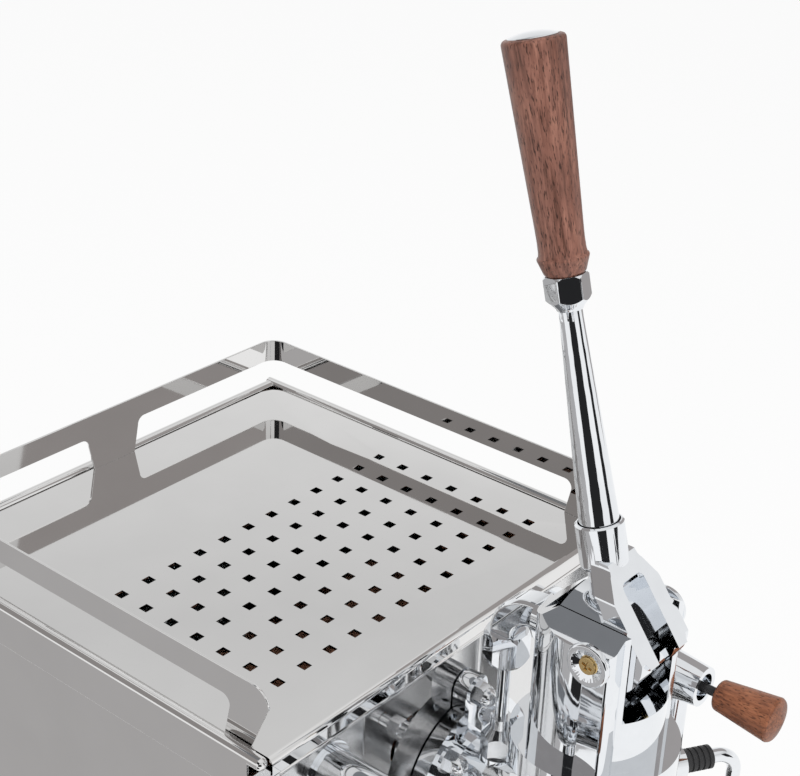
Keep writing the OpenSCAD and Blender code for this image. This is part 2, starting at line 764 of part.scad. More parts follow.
module group_head() color(chrome) difference() {
    union() {
        at_group() intersection() {
            head_block();
            union() {
                translate([0, 60, arch_z]) forward() cylinder(r = arch_r, h = 120);
                translate([-60, -60, head_z]) cube([120, 120, arch_z - head_z]);
            }
        }
        at_group() translate([0, 0, head_z]) cylinder(r = ring_r, h = ring_t);
        from_edge() translate([0, elbow_back, elbow_z]) forward() cylinder(r = 12, h = 16);
    }
    // Rear slope, slot, lobe pocket, pin holes with their spot faces, rod bore and spring chamber
    at_pivot() side_view(120) polygon([[30, arch_up + 1], [30, 17], [56, -2], [80, -2], [80, arch_up + 1]]);
    at_pivot() {
        translate([-slot_half, -80, -lobe_tip + slot_lip])
            cube([2 * slot_half, 80 + hub_back + hub_gap, 100]);
        translate([-slot_half, -12, slot_floor - pivot_z])
            cube([2 * slot_half, 12 + hub_back + hub_gap, 100]);
        translate([-lobe_half, 0, slot_floor - pivot_z]) cube([2 * lobe_half, slot_back, 100]);
        across() cylinder(r = pin_r + 0.02, h = 2 * cheek_half + 10, center = true);
        for (s = [-1, 1]) translate([s * cheek_half, 0, 0]) rotate([0, s * 90, 0])
            cylinder(r = cap_r + 0.3, h = 10);
    }
    at_group() {
        translate([0, 0, head_z - 1]) cylinder(r = bore_r, h = chamber_top - head_z + 1);
        translate([0, 0, head_z]) cylinder(r = rod_r + fit_gap, h = pivot_z - head_z);
    }
}

// Fork: two arms on side pins, joined under the socket, with involute cam bands inside

// Everything further out than d along the normal of the slanted front face
module face_side(d) rotate([0, 0, 180 - face_lean]) translate([d, -100]) square([100, 200]);

// Cam flank: an involute of the base circle, so the lift is the base radius times the turn
cam_steps = 24;
cam_angles = [for (i = [0 : cam_steps]) -cam_lead + (pull_angle + cam_lead + 4) * i / cam_steps];
function cam_point(a, t) = turned([cam_base, -(cam_far - cam_base * a * PI / 180) - t], -a);
module cam_band() polygon(concat(
    [for (a = cam_angles) cam_point(a, 0)],
    flipped([for (a = cam_angles) cam_point(a, lobe_t)])));

module under_arch() {
    translate([0, 60, arch_z]) forward() cylinder(r = arch_r, h = 120);
    translate([-60, -60, arch_z - 80]) cube([120, 120, 80]);
}

module fork_hub() intersection() {
    at_pivot() side_view(2 * fork_half) difference() {
        union() {
            circle(disc_r);
            translate([-10, -8]) square([hub_back + 10, arch_up + 10]);
        }
        face_side(face_out);
    }
    at_group() under_arch();
}

// Front plate: rounded feet and shoulders, a hollow fillet up to the socket, and a rib behind the window
plate_in = 1.4;
plate_half = fork_half - plate_in;
plate_top = 46;
rib_half = window_half + 2;
fillet_r = 5;
module fork_plate() intersection() {
    outline = concat(
        [[plate_half - 3.6, -40]],
        arc([plate_half - 10, 8], 10, -50, 0, 5),
        arc([plate_half - 5, 29], 5, 0, 45, 4),
        arc([socket_r - 0.5 + fillet_r, plate_top - 1], fillet_r, 235, 180, 4),
        [[socket_r - 0.5, plate_top]]);
    at_pivot() difference() {
        union() {
            side_view(2 * fork_half)
                polygon([[-30, 0], [-10, -8], [6.7, 26], [22, plate_top], [0, plate_top], [-30, 10]]);
            side_view(2 * rib_half) polygon([[-10, -8], [16, 26], [22, plate_top], [0, plate_top]]);
        }
        side_view(2 * fork_half + 2) face_side(face_out);
    }
    at_pivot() translate([0, 60, 0]) forward() linear_extrude(120)
        polygon(concat(outline, mirrored_x(outline)));
}

// Socket: a cup with a rounded foot on a waisted neck that runs into the hub
cup_len = 26.5;
cup_round = 3;
waist_r = 10;
cup_bore_gap = 0.4;
module fork_socket() at_lever() rotate_extrude() polygon(concat(
    [[0, 6], [waist_r + 6, 6], [waist_r + 1.5, 18], [waist_r, 26], [waist_r, socket_top - cup_len]],
    arc([socket_r - cup_round, socket_top - cup_len + cup_round], cup_round, -90, 0, 5),
    [[socket_r, socket_top - 1], [socket_r - 1, socket_top], [0, socket_top]]));

// Window in the plate: seen square on, and from the side with its hollowed back
module window_outline() {
    translate([-window_half, -60]) square([2 * window_half, 60 + window_top - window_r]);
    translate([-window_half + window_r, -60]) square([2 * (window_half - window_r), 60 + window_top]);
    for (s = [-1, 1]) translate([s * (window_half - window_r), window_top - window_r]) circle(window_r);
}
module window_scoop() rotate([0, 0, 180 - face_lean]) {
    translate([face_out - window_deep + scoop_r, -scoop_at]) circle(scoop_r, $fn = 96);
    translate([face_out - window_deep, -scoop_at]) square([60, 100]);
}

module fork() color(chrome) {
    difference() {
        union() {
            fork_hub();
            fork_plate();
            fork_socket();
        }
        // Pocket behind the plate, window in its face, pin bores and socket
        at_pivot() {
            side_view(2 * web_half) difference() {
                translate([-60, -60]) square([120, 60 + roof_under]);
                face_side(face_out - plate_t);
            }
            intersection() {
                side_view(2 * window_half) window_scoop();
                rotate([90 - face_lean, 0, 0]) linear_extrude(60) window_outline();
            }
            across() cylinder(r = pin_r + fit_gap, h = 2 * fork_half + 2, center = true);
        }
        at_lever() translate([0, 0, socket_top - socket_deep])
            cylinder(r = lever_r1 + cup_bore_gap, h = socket_deep + 2);
    }
    at_pivot() for (s = [-1, 1]) translate([s * (window_half + web_half + 0.5) / 2, 0, 0])
        side_view(web_half + 0.5 - window_half) cam_band();
}

pin_out = 3;
cross_w = 1.6;
cross_l = 6.4;
cross_deep = 1.2;
module fork_pins() color(brass) at_pivot() for (s = [-1, 1]) difference() {
    translate([s * (web_half + cheek_half + pin_out) / 2, 0, 0]) across()
        cylinder(r = pin_r, h = cheek_half + pin_out - web_half, center = true);
    for (a = [20, 110]) translate([s * (cheek_half + pin_out), 0, 0]) rotate([a, 0, 0])
        cube([2 * cross_deep, cross_l, cross_w], center = true);
}

module pin_caps() color(chrome) at_pivot() for (s = [-1, 1]) translate([s * cheek_half, 0, 0])
    rotate([0, s * 90, 0]) rotate_extrude() polygon([[pin_r + 0.02, 0], [cap_r, 0], [cap_r, 2.5],
        [cap_r - 1, 3.6], [cap_r - 2.5, 3.6], [pin_r + 0.02, 1.8]]);

module at_crosshead() at_group() translate([0, 0, pivot_z - follower_drop]) children();

module crosshead_pin() color([0.55, 0.56, 0.58]) at_crosshead()
    across() cylinder(r = follower_r, h = 2 * (web_half - 0.4), center = true);

module piston_rod() color([0.70, 0.71, 0.72]) at_crosshead() difference() {
    union() {
        across() cylinder(r = eye_r, h = 2 * eye_half, center = true);
        translate([0, 0, -(pivot_z - follower_drop - piston_z - 4)])
            cylinder(r = rod_r, h = pivot_z - follower_drop - piston_z - 4);
    }
    across() cylinder(r = follower_r + 0.02, h = 2 * eye_half + 2, center = true);
}

seal_h = 4;
seal_in = 3;
module piston() color(brass) at_group() translate([0, 0, piston_z]) difference() {
    cylinder(r = bore_r - 0.3, h = piston_h);
    for (z = [4, piston_h - 4 - seal_h]) translate([0, 0, z])
        ring(bore_r + 2, bore_r - 0.3 - seal_in, seal_h);
    translate([0, 0, 4]) cylinder(r = rod_r + 0.02, h = piston_h);
}

module piston_seals() color(black_rubber) at_group() translate([0, 0, piston_z])
    for (z = [4, piston_h - 4 - seal_h]) translate([0, 0, z + 0.1])
        ring(bore_r - 0.06, bore_r - 0.2 - seal_in, seal_h - 0.2);

// Main spring: one unbroken wire, wound by a formula
wire_r = 2.6;
coil_r = 20;
coil_turns = 9;
coil_rings = 10;
coil_sides = 6;
spring_low = piston_z + piston_h + wire_r + 0.3;
spring_high = chamber_top - wire_r - 0.3;
coil_pitch = (spring_high - spring_low) / coil_turns;
coil_points = [for (i = [0 : coil_turns * coil_rings]) let (a = 360 * i / coil_rings)
    [coil_r * cos(a), coil_r * sin(a), spring_low + coil_pitch * i / coil_rings]];
echo(spring_least_gap = min([for (i = [0 : len(coil_points) - 1 - coil_rings])
    norm(coil_points[i + coil_rings] - coil_points[i]) - 2 * wire_r]));

module main_spring() color([0.45, 0.46, 0.48]) at_group() {
    n = len(coil_points);
    pts = [for (i = [0 : n - 1], k = [0 : coil_sides - 1])
        let (a = 360 * i / coil_rings, b = 360 * k / coil_sides, out = coil_r + wire_r * cos(b))
        [out * cos(a), out * sin(a), coil_points[i].z + wire_r * sin(b)]];
    walls = [for (i = [0 : n - 2], k = [0 : coil_sides - 1])
        let (a = i * coil_sides + k, b = i * coil_sides + (k + 1) % coil_sides)
        each [[a, a + coil_sides, b], [b, a + coil_sides, b + coil_sides]]];
    ends = [for (k = [1 : coil_sides - 2]) each [[0, k, k + 1],
        [(n - 1) * coil_sides, (n - 1) * coil_sides + k + 1, (n - 1) * coil_sides + k]]];
    polyhedron(pts, concat(walls, ends));
}

module group_gasket() color(black_rubber) at_group() translate([0, 0, seal_z])
    ring(seat_r - 0.1, seat_r - 4.6, seal_t);

module shower_screen() color(mirror_steel) at_group() translate([0, 0, bore_z - sheet]) difference() {
    cylinder(r = seat_r - 5, h = sheet);
    for (r = [8, 16, 24], a = [0 : 30 : 330]) rotate([0, 0, a]) translate([r, 0, -1])
        cylinder(r = 1.2, h = sheet + 2);
}

// Lever

module lever_rod() color(chrome) at_lever() {
    translate([0, 0, socket_top - socket_deep])
        cylinder(r1 = lever_r1, r2 = lever_r2, h = collar_at - socket_top + socket_deep);
}

collar_r = 12.4;
collar_turn = 13;
module lever_collar() color(chrome) at_lever() translate([0, 0, collar_at]) intersection() {
    rotate([0, 0, collar_turn]) cylinder(r = collar_r, h = collar_h, $fn = 6);
    rotate_extrude() polygon([[0, 0], [lever_r2 + 0.8, 0], [lever_r2 + 1.8, 1.8], [collar_r - 0.2, 6.5],
        [collar_r - 0.2, collar_h - 1.5], [collar_r - 1.2, collar_h], [0, collar_h]]);
}

module lever_handle() color(walnut) at_lever() translate([0, 0, collar_at + collar_h]) rotate_extrude()
    polygon(concat([[0, 0], [handle_r - 6.5, 0], [handle_r - 5.3, 1.2]],
        arc([handle_r - 4.2, 9], 1.5, -20, 70, 4),
        [[handle_r - 4, 13], [handle_r - 4.1, 18], [handle_r - 3.9, 25]],
        arc([handle_r - 2.5, handle_h - 2.5], 2.5, 0, 90, 5),
        [[0, handle_h]]));

cap_in = 3.3;
cap_rise = 2.8;
cap_dome = 40;
module handle_cap() color(chrome)
    at_lever() translate([0, 0, collar_at + collar_h + handle_h]) intersection() {
    cylinder(r = handle_r - cap_in, h = 5);
    translate([0, 0, cap_rise - cap_dome]) sphere(r = cap_dome, $fn = 96);
}

// Bypass line from the neck to the back of the head

fitting_h = 26;
fitting_top = boss_top + fitting_h;
fitting_hex = 12;
fitting_r = 11.5;
fitting_neck = 6.5;
stub_r = 4.4;
stub_len = 20;
stub_up = 12;
stub_yaw = 40;
thread_pitch = 2;
module neck_fitting() color(chrome) from_edge() translate([0, -boss_out, boss_top]) difference() {
    union() {
        intersection() {
            cylinder(r = fitting_r, h = fitting_h, $fn = 6);
            rotate_extrude() polygon([[0, 0], [fitting_r, 0], [fitting_r, fitting_hex],
                [fitting_neck, fitting_hex + 7], [fitting_neck, fitting_h], [0, fitting_h]]);
        }
        translate([0, 0, stub_up]) rotate([0, 0, stub_yaw]) forward() rotate_extrude() polygon(concat(
            [[0, 0], [stub_r + 1.6, 0], [stub_r + 1.6, stub_len - 7], [stub_r, stub_len - 6.5]],
            [for (i = [0 : 2]) each [[stub_r, stub_len - 6 + i * thread_pitch],
                [stub_r + 0.7, stub_len - 5.5 + i * thread_pitch], [stub_r, stub_len - 5 + i * thread_pitch]]],
            [[0, stub_len]]));
    }
    translate([0, 0, fitting_h - 10]) cylinder(r = tube_r + 0.02, h = 12);
}

elbow_low = elbow_z - elbow_bend;
elbow_nut_h = 22;
module bypass_tube() color(chrome) from_edge() translate([0, -boss_out, fitting_top - 10])
    cylinder(r = tube_r, h = elbow_low - fitting_top + 10);

module elbow_nut() color(chrome)
    from_edge() translate([0, -boss_out, elbow_low - elbow_nut_h]) difference() {
    intersection() {
        cylinder(r = 14, h = elbow_nut_h, $fn = 6);
        rotate_extrude() polygon([[0, 0], [11, 0], [14, 4],
            [14, elbow_nut_h - 3], [12.3, elbow_nut_h], [0, elbow_nut_h]]);
    }
    translate([0, 0, -1]) cylinder(r = tube_r + 0.02, h = elbow_nut_h + 2);
}

module elbow_section() intersection() {
    square(17, center = true);
    circle(10.6);
}
elbow_run = -elbow_back - boss_out - elbow_bend;
module elbow() color(chrome) from_edge() translate([0, -boss_out, elbow_low]) {
    translate([0, -elbow_bend, 0]) rotate([90, 0, 90]) rotate_extrude(angle = 90)
        translate([elbow_bend, 0]) elbow_section();
    translate([0, -elbow_bend, elbow_bend]) forward() linear_extrude(elbow_run) elbow_section();
}

feed_x = -31;
feed_z = neck_z + 34.5;
feed_nut = 7;
module feed_tube() color(chrome) from_edge() translate([feed_x, bay_y + 14, feed_z]) forward() {
    run = bay_y + 14 - flange_in;
    cylinder(r = tube_r, h = run);
    translate([0, 0, run - 13]) cylinder(r = feed_nut, h = 8, $fn = 6);
    translate([0, 0, run - 5 - eps]) cylinder(r = 6, h = 5 + eps);
}

// Taps

valve_tail_r = 9;
valve_tail = 20;
valve_flange_r = 19;
valve_flange_t = 4;
valve_neck_r = 15;
valve_body_r = 17.5;
valve_band = 10;
valve_cone = 46;
ring_deep = 12;
ring_wall = 4;
outlet_r = 7.5;
outlet_ball_r = 9.5;
wand_nut_r = 10.5;
module valve(side) color(chrome) {
    reach = panel_in + tap_out;
    cone_at = reach - valve_cone - valve_band;
    at_tap(side) translate([0, panel_in, 0]) forward() difference() {
        union() {
            translate([0, 0, -valve_tail]) cylinder(r = valve_tail_r, h = valve_tail + eps);
            cylinder(r = valve_flange_r, h = valve_flange_t);
            translate([0, 0, valve_flange_t - eps])
                cylinder(r = valve_neck_r, h = cone_at - valve_flange_t + 2 * eps);
            translate([0, 0, cone_at]) cylinder(r = valve_body_r, h = valve_band + eps);
            translate([0, 0, cone_at + valve_band])
                cylinder(r1 = valve_body_r, r2 = tap_ring_r, h = valve_cone);
        }
        translate([0, 0, reach - ring_deep]) cylinder(r = tap_ring_r - ring_wall, h = ring_deep + 2);
        translate([0, 0, reach - ring_deep - ball_deep + 4]) {
            sphere(stem_ball_r + 0.3);
            across() cylinder(r = trunnion_r + fit_gap, h = 2 * trunnion_half + 0.4, center = true);
        }
    }
    difference() {
        union() {
            from_edge() translate([side * tap_x, outlet_y, wand_z])
                cylinder(r = outlet_r, h = tap_z - wand_z - 9);
            at_wand(side) sphere(outlet_ball_r);
            at_wand(side) across() cylinder(r = wand_nut_r, h = nut_len);
        }
        at_wand(side) translate([nut_len - ball_r + 1, 0, 0]) sphere(ball_r + 0.3);
        at_wand(side) translate([nut_len - 2, 0, 0]) across() cylinder(r = wand_r + 0.4, h = 4);
    }
}
module steam_valve() valve(1);
module water_valve() valve(-1);

module at_stem(side) at_tap(side) translate([0, -tap_out + ring_deep + ball_deep - 4, 0])
    forward() children();
knob_at = stem_len;

module stem(side) color(black_rubber) at_stem(side) {
    sphere(stem_ball_r);
    cylinder(r = stem_r, h = knob_at + 8);
    across() cylinder(r = trunnion_r, h = 2 * trunnion_half, center = true);
}
module steam_stem() stem(1);
module water_stem() stem(-1);

module knob(side) color(red_wood) at_stem(side) translate([0, 0, knob_at]) difference() {
    rotate_extrude() polygon([[0, 0], [8.5, 0], [10, 1.5], [knob_r, knob_h - 6], [knob_r - 1, knob_h - 4],
        [0, knob_h]]);
    translate([0, 0, -1]) cylinder(r = stem_r + 0.02, h = 9);
}
module steam_knob() knob(1);
module water_knob() knob(-1);

module wand(side) color(mirror_steel) at_wand(side) {
    ball = nut_len - ball_r + 1;
    translate([ball, 0, 0]) sphere(ball_r);
    translate([ball, 0, 0]) across() cylinder(r = wand_r, h = bend_at - ball);
    translate([bend_at, 0, -wand_bend]) rotate([90, 0, 0]) rotate_extrude(angle = 90)
        translate([wand_bend, 0]) circle(wand_r);
    translate([bend_at + wand_bend, 0, -wand_bend - wand_h]) cylinder(r = wand_r, h = wand_h);
    translate([bend_at + wand_bend, 0, -wand_bend - wand_h - 10])
        cylinder(r1 = 4.5, r2 = 7, h = 14);
}
module steam_wand() wand(1);
module water_wand() wand(-1);

rib_count = 5;
module steam_grip() color(black_rubber)
    at_wand(1) translate([nut_len + grip_gap, 0, 0]) across() difference() {
    union() {
        cylinder(r = grip_radius - 1, h = grip_len);
        for (i = [0 : rib_count - 1])
            translate([0, 0, i * grip_len / rib_count + 0.5])
                cylinder(r = grip_radius, h = grip_len / rib_count - 1.2);
    }
    translate([0, 0, -1]) cylinder(r = wand_r + 0.02, h = grip_len + 2);
}

// Filter holder

arm_up = 14;
arm_len = 46;
arm_r1 = 10;
arm_r2 = 7;
arm_root = 6;
bowl_taper = 6;
bowl_foot = 12;
hub_r = 11;
hub_h = 10;
hub_bore = 5;
lug_t = 6;
module filter_holder() color(chrome) at_group() difference() {
    union() {
        translate([0, 0, bowl_floor]) cylinder(r1 = bowl_r - bowl_taper, r2 = bowl_r, h = bowl_foot);
        translate([0, 0, bowl_floor + bowl_foot - eps])
            cylinder(r = bowl_r, h = bowl_top - bowl_floor - bowl_foot + eps);
        translate([0, 0, bowl_floor - hub_h]) cylinder(r = hub_r, h = hub_h + 1);
        for (a = [0, 180]) rotate([0, 0, a - lug_half_angle]) translate([0, 0, bell_z + lip_t + 0.6])
            rotate_extrude(angle = 2 * lug_half_angle) translate([bowl_r - 3, 0])
                square([lug_r - bowl_r + 3, lug_t]);
        translate([0, -bowl_r + arm_root, bowl_floor + arm_up]) forward()
            cylinder(r1 = arm_r1, r2 = arm_r2, h = arm_len);
    }
    translate([0, 0, bowl_floor + 4]) cylinder(r = basket_r + 2.5, h = 100);
    translate([0, 0, bowl_floor - hub_h - 1]) cylinder(r = hub_bore, h = hub_h + bowl_foot);
}

ferrule_len = 12;
ferrule_r = 10.5;
module holder_handle() color(walnut) at_group() {
    root = bowl_r - arm_root + arm_len;
    length = holder_reach - root;
    translate([0, -root, bowl_floor + arm_up]) forward() rotate_extrude() polygon(concat(
        [[0, 0], [ferrule_r - 1.5, 0], [ferrule_r, 2], [ferrule_r, ferrule_len]],
        arc([grip_r - 6, length - 6], 6, 0, 90, 5), [[0, length]]));
}

module basket() color(mirror_steel) at_group() {
    deep = 28;
    difference() {
        union() {
            translate([0, 0, bowl_top]) cylinder(r = bowl_r - 0.3, h = basket_rim_t);
            translate([0, 0, bowl_top - deep]) cylinder(r = basket_r + 1, h = deep + eps);
        }
        translate([0, 0, bowl_top - deep + 1]) cylinder(r = basket_r, h = deep + 10);
        for (r = [7, 14, 21], a = [0 : 30 : 330]) rotate([0, 0, a])
            translate([r, 0, bowl_top - deep - 1]) cylinder(r = 1, h = 4);
    }
}

module spout() color(chrome) at_group() translate([0, 0, bowl_floor - hub_h]) difference() {
    union() {
        translate([0, 0, -10]) cylinder(r = 9, h = 10);
        translate([-16, 0, -10]) across() cylinder(r = 7, h = 32);
        for (s = [-1, 1]) translate([s * 16, 0, -10]) sphere(7);
        for (s = [-1, 1]) translate([s * 16, 0, -spout_drop + 10]) cylinder(r = 7, h = spout_drop - 20);
    }
    translate([0, 0, -10]) cylinder(r = 4, h = 12);
    translate([-16, 0, -10]) across() cylinder(r = 4, h = 32);
    for (s = [-1, 1]) translate([s * 16, 0, -spout_drop]) cylinder(r = 4, h = spout_drop - 10);
}

// Drip tray

module drip_tray() color(mirror_steel) from_edge() {
    difference() {
        translate([-tray_half, -base_out + apron_t - eps, tray_floor])
            cube([2 * tray_half, base_out - apron_t + tray_back, tray_rim - tray_floor]);
        translate([-tray_half + sheet, -base_out + apron_t + 2, tray_floor + sheet])
            cube([2 * (tray_half - sheet), base_out - apron_t + tray_back - sheet - 2, 100]);
    }
    translate([-half_w, -base_out, foot_h]) cube([body_w, apron_t, pan_h]);
}

slot_count = 20;
module drip_grate() color(mirror_steel) from_edge() difference() {
    translate([-tray_half, -base_out + apron_t + 0.5, tray_rim])
        cube([2 * tray_half, base_out - apron_t + tray_back - 0.5, grate_t]);
    pitch = (2 * tray_half - 30) / slot_count;
    for (i = [0 : slot_count - 1], y = [-base_out + 12, -base_out / 2 + 8])
        translate([-tray_half + 15 + (i + 0.5) * pitch - 3, y, tray_rim - 1])
            cube([6, base_out / 2 - 12, grate_t + 2]);
}

base_pan();
feet();
left_panel();
right_panel();
back_panel();
rim_left();
rim_right();
rim_back();
front_panel();
front_bar();
cup_shelf();
cup_rail();
water_tank();
boiler();
heating_element();
pump();
inlet_socket();
gauge_case();
switch_frame();
switch_rocker();
mounting_flange();
flange_gasket();
flange_studs();
flange_nuts();
group_cylinder();
group_head();
fork();
fork_pins();
pin_caps();
crosshead_pin();
piston_rod();
piston();
piston_seals();
main_spring();
group_gasket();
shower_screen();
lever_rod();
lever_collar();
lever_handle();
handle_cap();
neck_fitting();
bypass_tube();
elbow_nut();
elbow();
feed_tube();
steam_valve();
water_valve();
steam_stem();
water_stem();
steam_knob();
water_knob();
steam_wand();
water_wand();
steam_grip();
filter_holder();
holder_handle();
basket();
spout();
drip_tray();
drip_grate();
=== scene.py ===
"""Looks for a lever espresso machine: finishes, softened castings, gauge face, studio and camera.

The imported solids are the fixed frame. Each one is stood for by a dressed copy, with its edges broken where a
polisher would break them. Lengths are metres unless a docstring says mm, +Z is up and -Y is the front.
"""
import logging
import math
from dataclasses import dataclass, field
from enum import Enum

import bpy
from mathutils import Matrix, Vector


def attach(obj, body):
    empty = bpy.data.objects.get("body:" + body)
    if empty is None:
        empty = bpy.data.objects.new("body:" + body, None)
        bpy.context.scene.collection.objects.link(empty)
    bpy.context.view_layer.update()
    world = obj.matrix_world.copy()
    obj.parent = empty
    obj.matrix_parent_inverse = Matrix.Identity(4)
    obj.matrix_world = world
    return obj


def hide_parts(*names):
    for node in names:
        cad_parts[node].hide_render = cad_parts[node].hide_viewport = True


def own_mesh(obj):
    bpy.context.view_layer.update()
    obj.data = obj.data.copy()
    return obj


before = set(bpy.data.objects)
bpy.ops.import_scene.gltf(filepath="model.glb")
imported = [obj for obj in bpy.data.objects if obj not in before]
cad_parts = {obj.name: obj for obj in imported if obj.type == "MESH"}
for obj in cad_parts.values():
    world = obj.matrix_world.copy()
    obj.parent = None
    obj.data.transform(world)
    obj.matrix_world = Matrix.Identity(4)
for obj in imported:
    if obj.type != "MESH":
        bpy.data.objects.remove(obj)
LOG = logging.getLogger("espresso_machine")
MM = 0.001
Colour = tuple[float, float, float]
Point = tuple[float, float, float]
Pair = tuple[float, float]
CHROME: Colour = (0.855, 0.875, 0.90)
# The tone of the black cards: painted black reflections in the metal.
BLACK_CARD: Colour = (0.02, 0.02, 0.021)
WALNUT: tuple[Colour, ...] = ((0.095, 0.041, 0.029), (0.215, 0.095, 0.069), (0.34, 0.165, 0.118))
RED_WALNUT: tuple[Colour, ...] = ((0.14, 0.050, 0.026), (0.27, 0.100, 0.050), (0.40, 0.165, 0.085))


class Body(Enum):
    """The rigid groups of the machine that move on their own."""

    MACHINE = "machine"
    LEVER = "lever"
    PISTON = "piston"
    STEAM_STICK = "steam_joystick"
    WATER_STICK = "water_joystick"
    STEAM_PIPE = "steam_pipe"
    WATER_PIPE = "water_pipe"
    HOLDER = "holder"
    TRAY = "tray"
    GRATE = "grate"
    SHELF = "shelf"
    SWITCH = "switch"


class Grain(Enum):
    """Which way the grain of a turned wooden piece runs."""

    ALONG_LEVER = "lever"
    ALONG_Y = "y"


class NodeSheet:
    """A material's node tree with short ways to add and join nodes."""

    def __init__(self, name: str) -> None:
        """Starts a plain material.

        Args:
            name: the finish's name.
        """
        self.material = bpy.data.materials.new(name)
        self.material.use_nodes = True
        self.tree = self.material.node_tree
        self.shader = self.tree.nodes["Principled BSDF"]

    def add(self, kind: str, **inputs: object) -> bpy.types.Node:
        """Adds a node and sets its inputs.

        Args:
            kind: the node's type name.
            inputs: socket names, with spaces as underscores, and their values.

        Returns:
            The new node.
        """
        node = self.tree.nodes.new(kind)
        for key, value in inputs.items():
            node.inputs[key.replace("_", " ")].default_value = value
        return node

    def join(self, out: bpy.types.NodeSocket, to: bpy.types.NodeSocket) -> None:
        """Links one socket to another."""
        self.tree.links.new(out, to)

    def feed(self, out: bpy.types.NodeSocket, socket: str) -> None:
        """Links a socket to one of the shader's own."""
        self.join(out, self.shader.inputs[socket])

    def set(self, socket: str, value: object) -> None:
        """Sets one of the shader's own sockets."""
        self.shader.inputs[socket].default_value = value

    def surface(self, out: bpy.types.NodeSocket) -> None:
        """Makes a shader's output the material's surface."""
        self.join(out, self.tree.nodes["Material Output"].inputs["Surface"])

    def place(self, turn_x: float = 0.0, stretch_z: float = 1.0) -> bpy.types.NodeSocket:
        """Gives object coordinates, turned about X and then scaled along the turned Z.

        Args:
            turn_x: the turn in radians.
            stretch_z: the scale along the turned Z.

        Returns:
            The vector socket.
        """
        source = self.add("ShaderNodeTexCoord")
        turn = self.add("ShaderNodeMapping", Rotation=(turn_x, 0.0, 0.0))
        self.join(source.outputs["Object"], turn.inputs["Vector"])
        scale = self.add("ShaderNodeMapping", Scale=(1.0, 1.0, stretch_z))
        self.join(turn.outputs["Vector"], scale.inputs["Vector"])
        return scale.outputs["Vector"]

    def noise(self, at: bpy.types.NodeSocket, scale: float, detail: float = 3.0,
              rough: float = 0.5) -> bpy.types.NodeSocket:
        """Adds a noise pattern.

        Args:
            at: the coordinates.
            scale: how many features to a metre.
            detail: the octaves.
            rough: the weight of the fine octaves.

        Returns:
            The pattern's value socket.
        """
        node = self.add("ShaderNodeTexNoise", Scale=scale, Detail=detail, Roughness=rough)
        self.join(at, node.inputs["Vector"])
        return node.outputs["Fac"]

    def ramp(self, value: bpy.types.NodeSocket, stops: list[tuple[float, Colour]]) -> bpy.types.NodeSocket:
        """Turns a value into a colour along stops.

        Args:
            value: the pattern.
            stops: places from 0 to 1 with their colours.

        Returns:
            The colour socket.
        """
        node = self.add("ShaderNodeValToRGB")
        for _ in stops[2:]:
            node.color_ramp.elements.new(0.5)
        for element, (place, colour) in zip(node.color_ramp.elements, stops):
            element.position = place
            element.color = (*colour, 1.0)
        self.join(value, node.inputs["Fac"])
        return node.outputs["Color"]

    def span(self, value: bpy.types.NodeSocket, source: Pair, target: Pair) -> bpy.types.NodeSocket:
        """Maps a value from one range to another.

        Args:
            value: the pattern.
            source: the range it has.
            target: the range it gets.

        Returns:
            The value's socket.
        """
        node = self.add("ShaderNodeMapRange", From_Min=source[0], From_Max=source[1], To_Min=target[0],
                        To_Max=target[1])
        self.join(value, node.inputs["Value"])
        return node.outputs["Result"]

    def sums(self, kind: str, value: bpy.types.NodeSocket, factor: float) -> bpy.types.Node:
        """Adds a sum that takes a value and a factor.

        Args:
            kind: the operation.
            value: the first input.
            factor: the second input.

        Returns:
            The node.
        """
        node = self.add("ShaderNodeMath")
        node.operation = kind
        node.inputs[1].default_value = factor
        self.join(value, node.inputs[0])
        return node

    def bump(self, height: bpy.types.NodeSocket, depth: float, strength: float = 1.0) -> None:
        """Bends the shader's normals by a height pattern.

        Args:
            height: the pattern.
            depth: its depth in metres.
            strength: how much of it shows.
        """
        node = self.add("ShaderNodeBump", Strength=strength, Distance=depth)
        self.join(height, node.inputs["Height"])
        self.feed(node.outputs["Normal"], "Normal")


@dataclass(frozen=True)
class Polished:
    """A polished metal: nearly a mirror, with a faint haze and the ripple of worked metal."""

    name: str
    colour: Colour
    haze: Pair
    ripple: float
    ripple_scale: float
    tint: float = 0.03
    clouds_to_a_ripple: float = 3.0

    def build(self) -> bpy.types.Material:
        """Makes the finish.

        Returns:
            The material.
        """
        sheet = NodeSheet(self.name)
        at = sheet.place()
        cloud = sheet.noise(at, self.ripple_scale * self.clouds_to_a_ripple, 4.0)
        low = tuple(c * (1.0 - self.tint) for c in self.colour)
        sheet.feed(sheet.ramp(cloud, [(0.3, low), (0.7, self.colour)]), "Base Color")
        sheet.feed(sheet.span(cloud, (0.35, 0.7), self.haze), "Roughness")
        sheet.set("Metallic", 1.0)
        sheet.bump(sheet.noise(at, self.ripple_scale, 1.0), self.ripple)
        return sheet.material


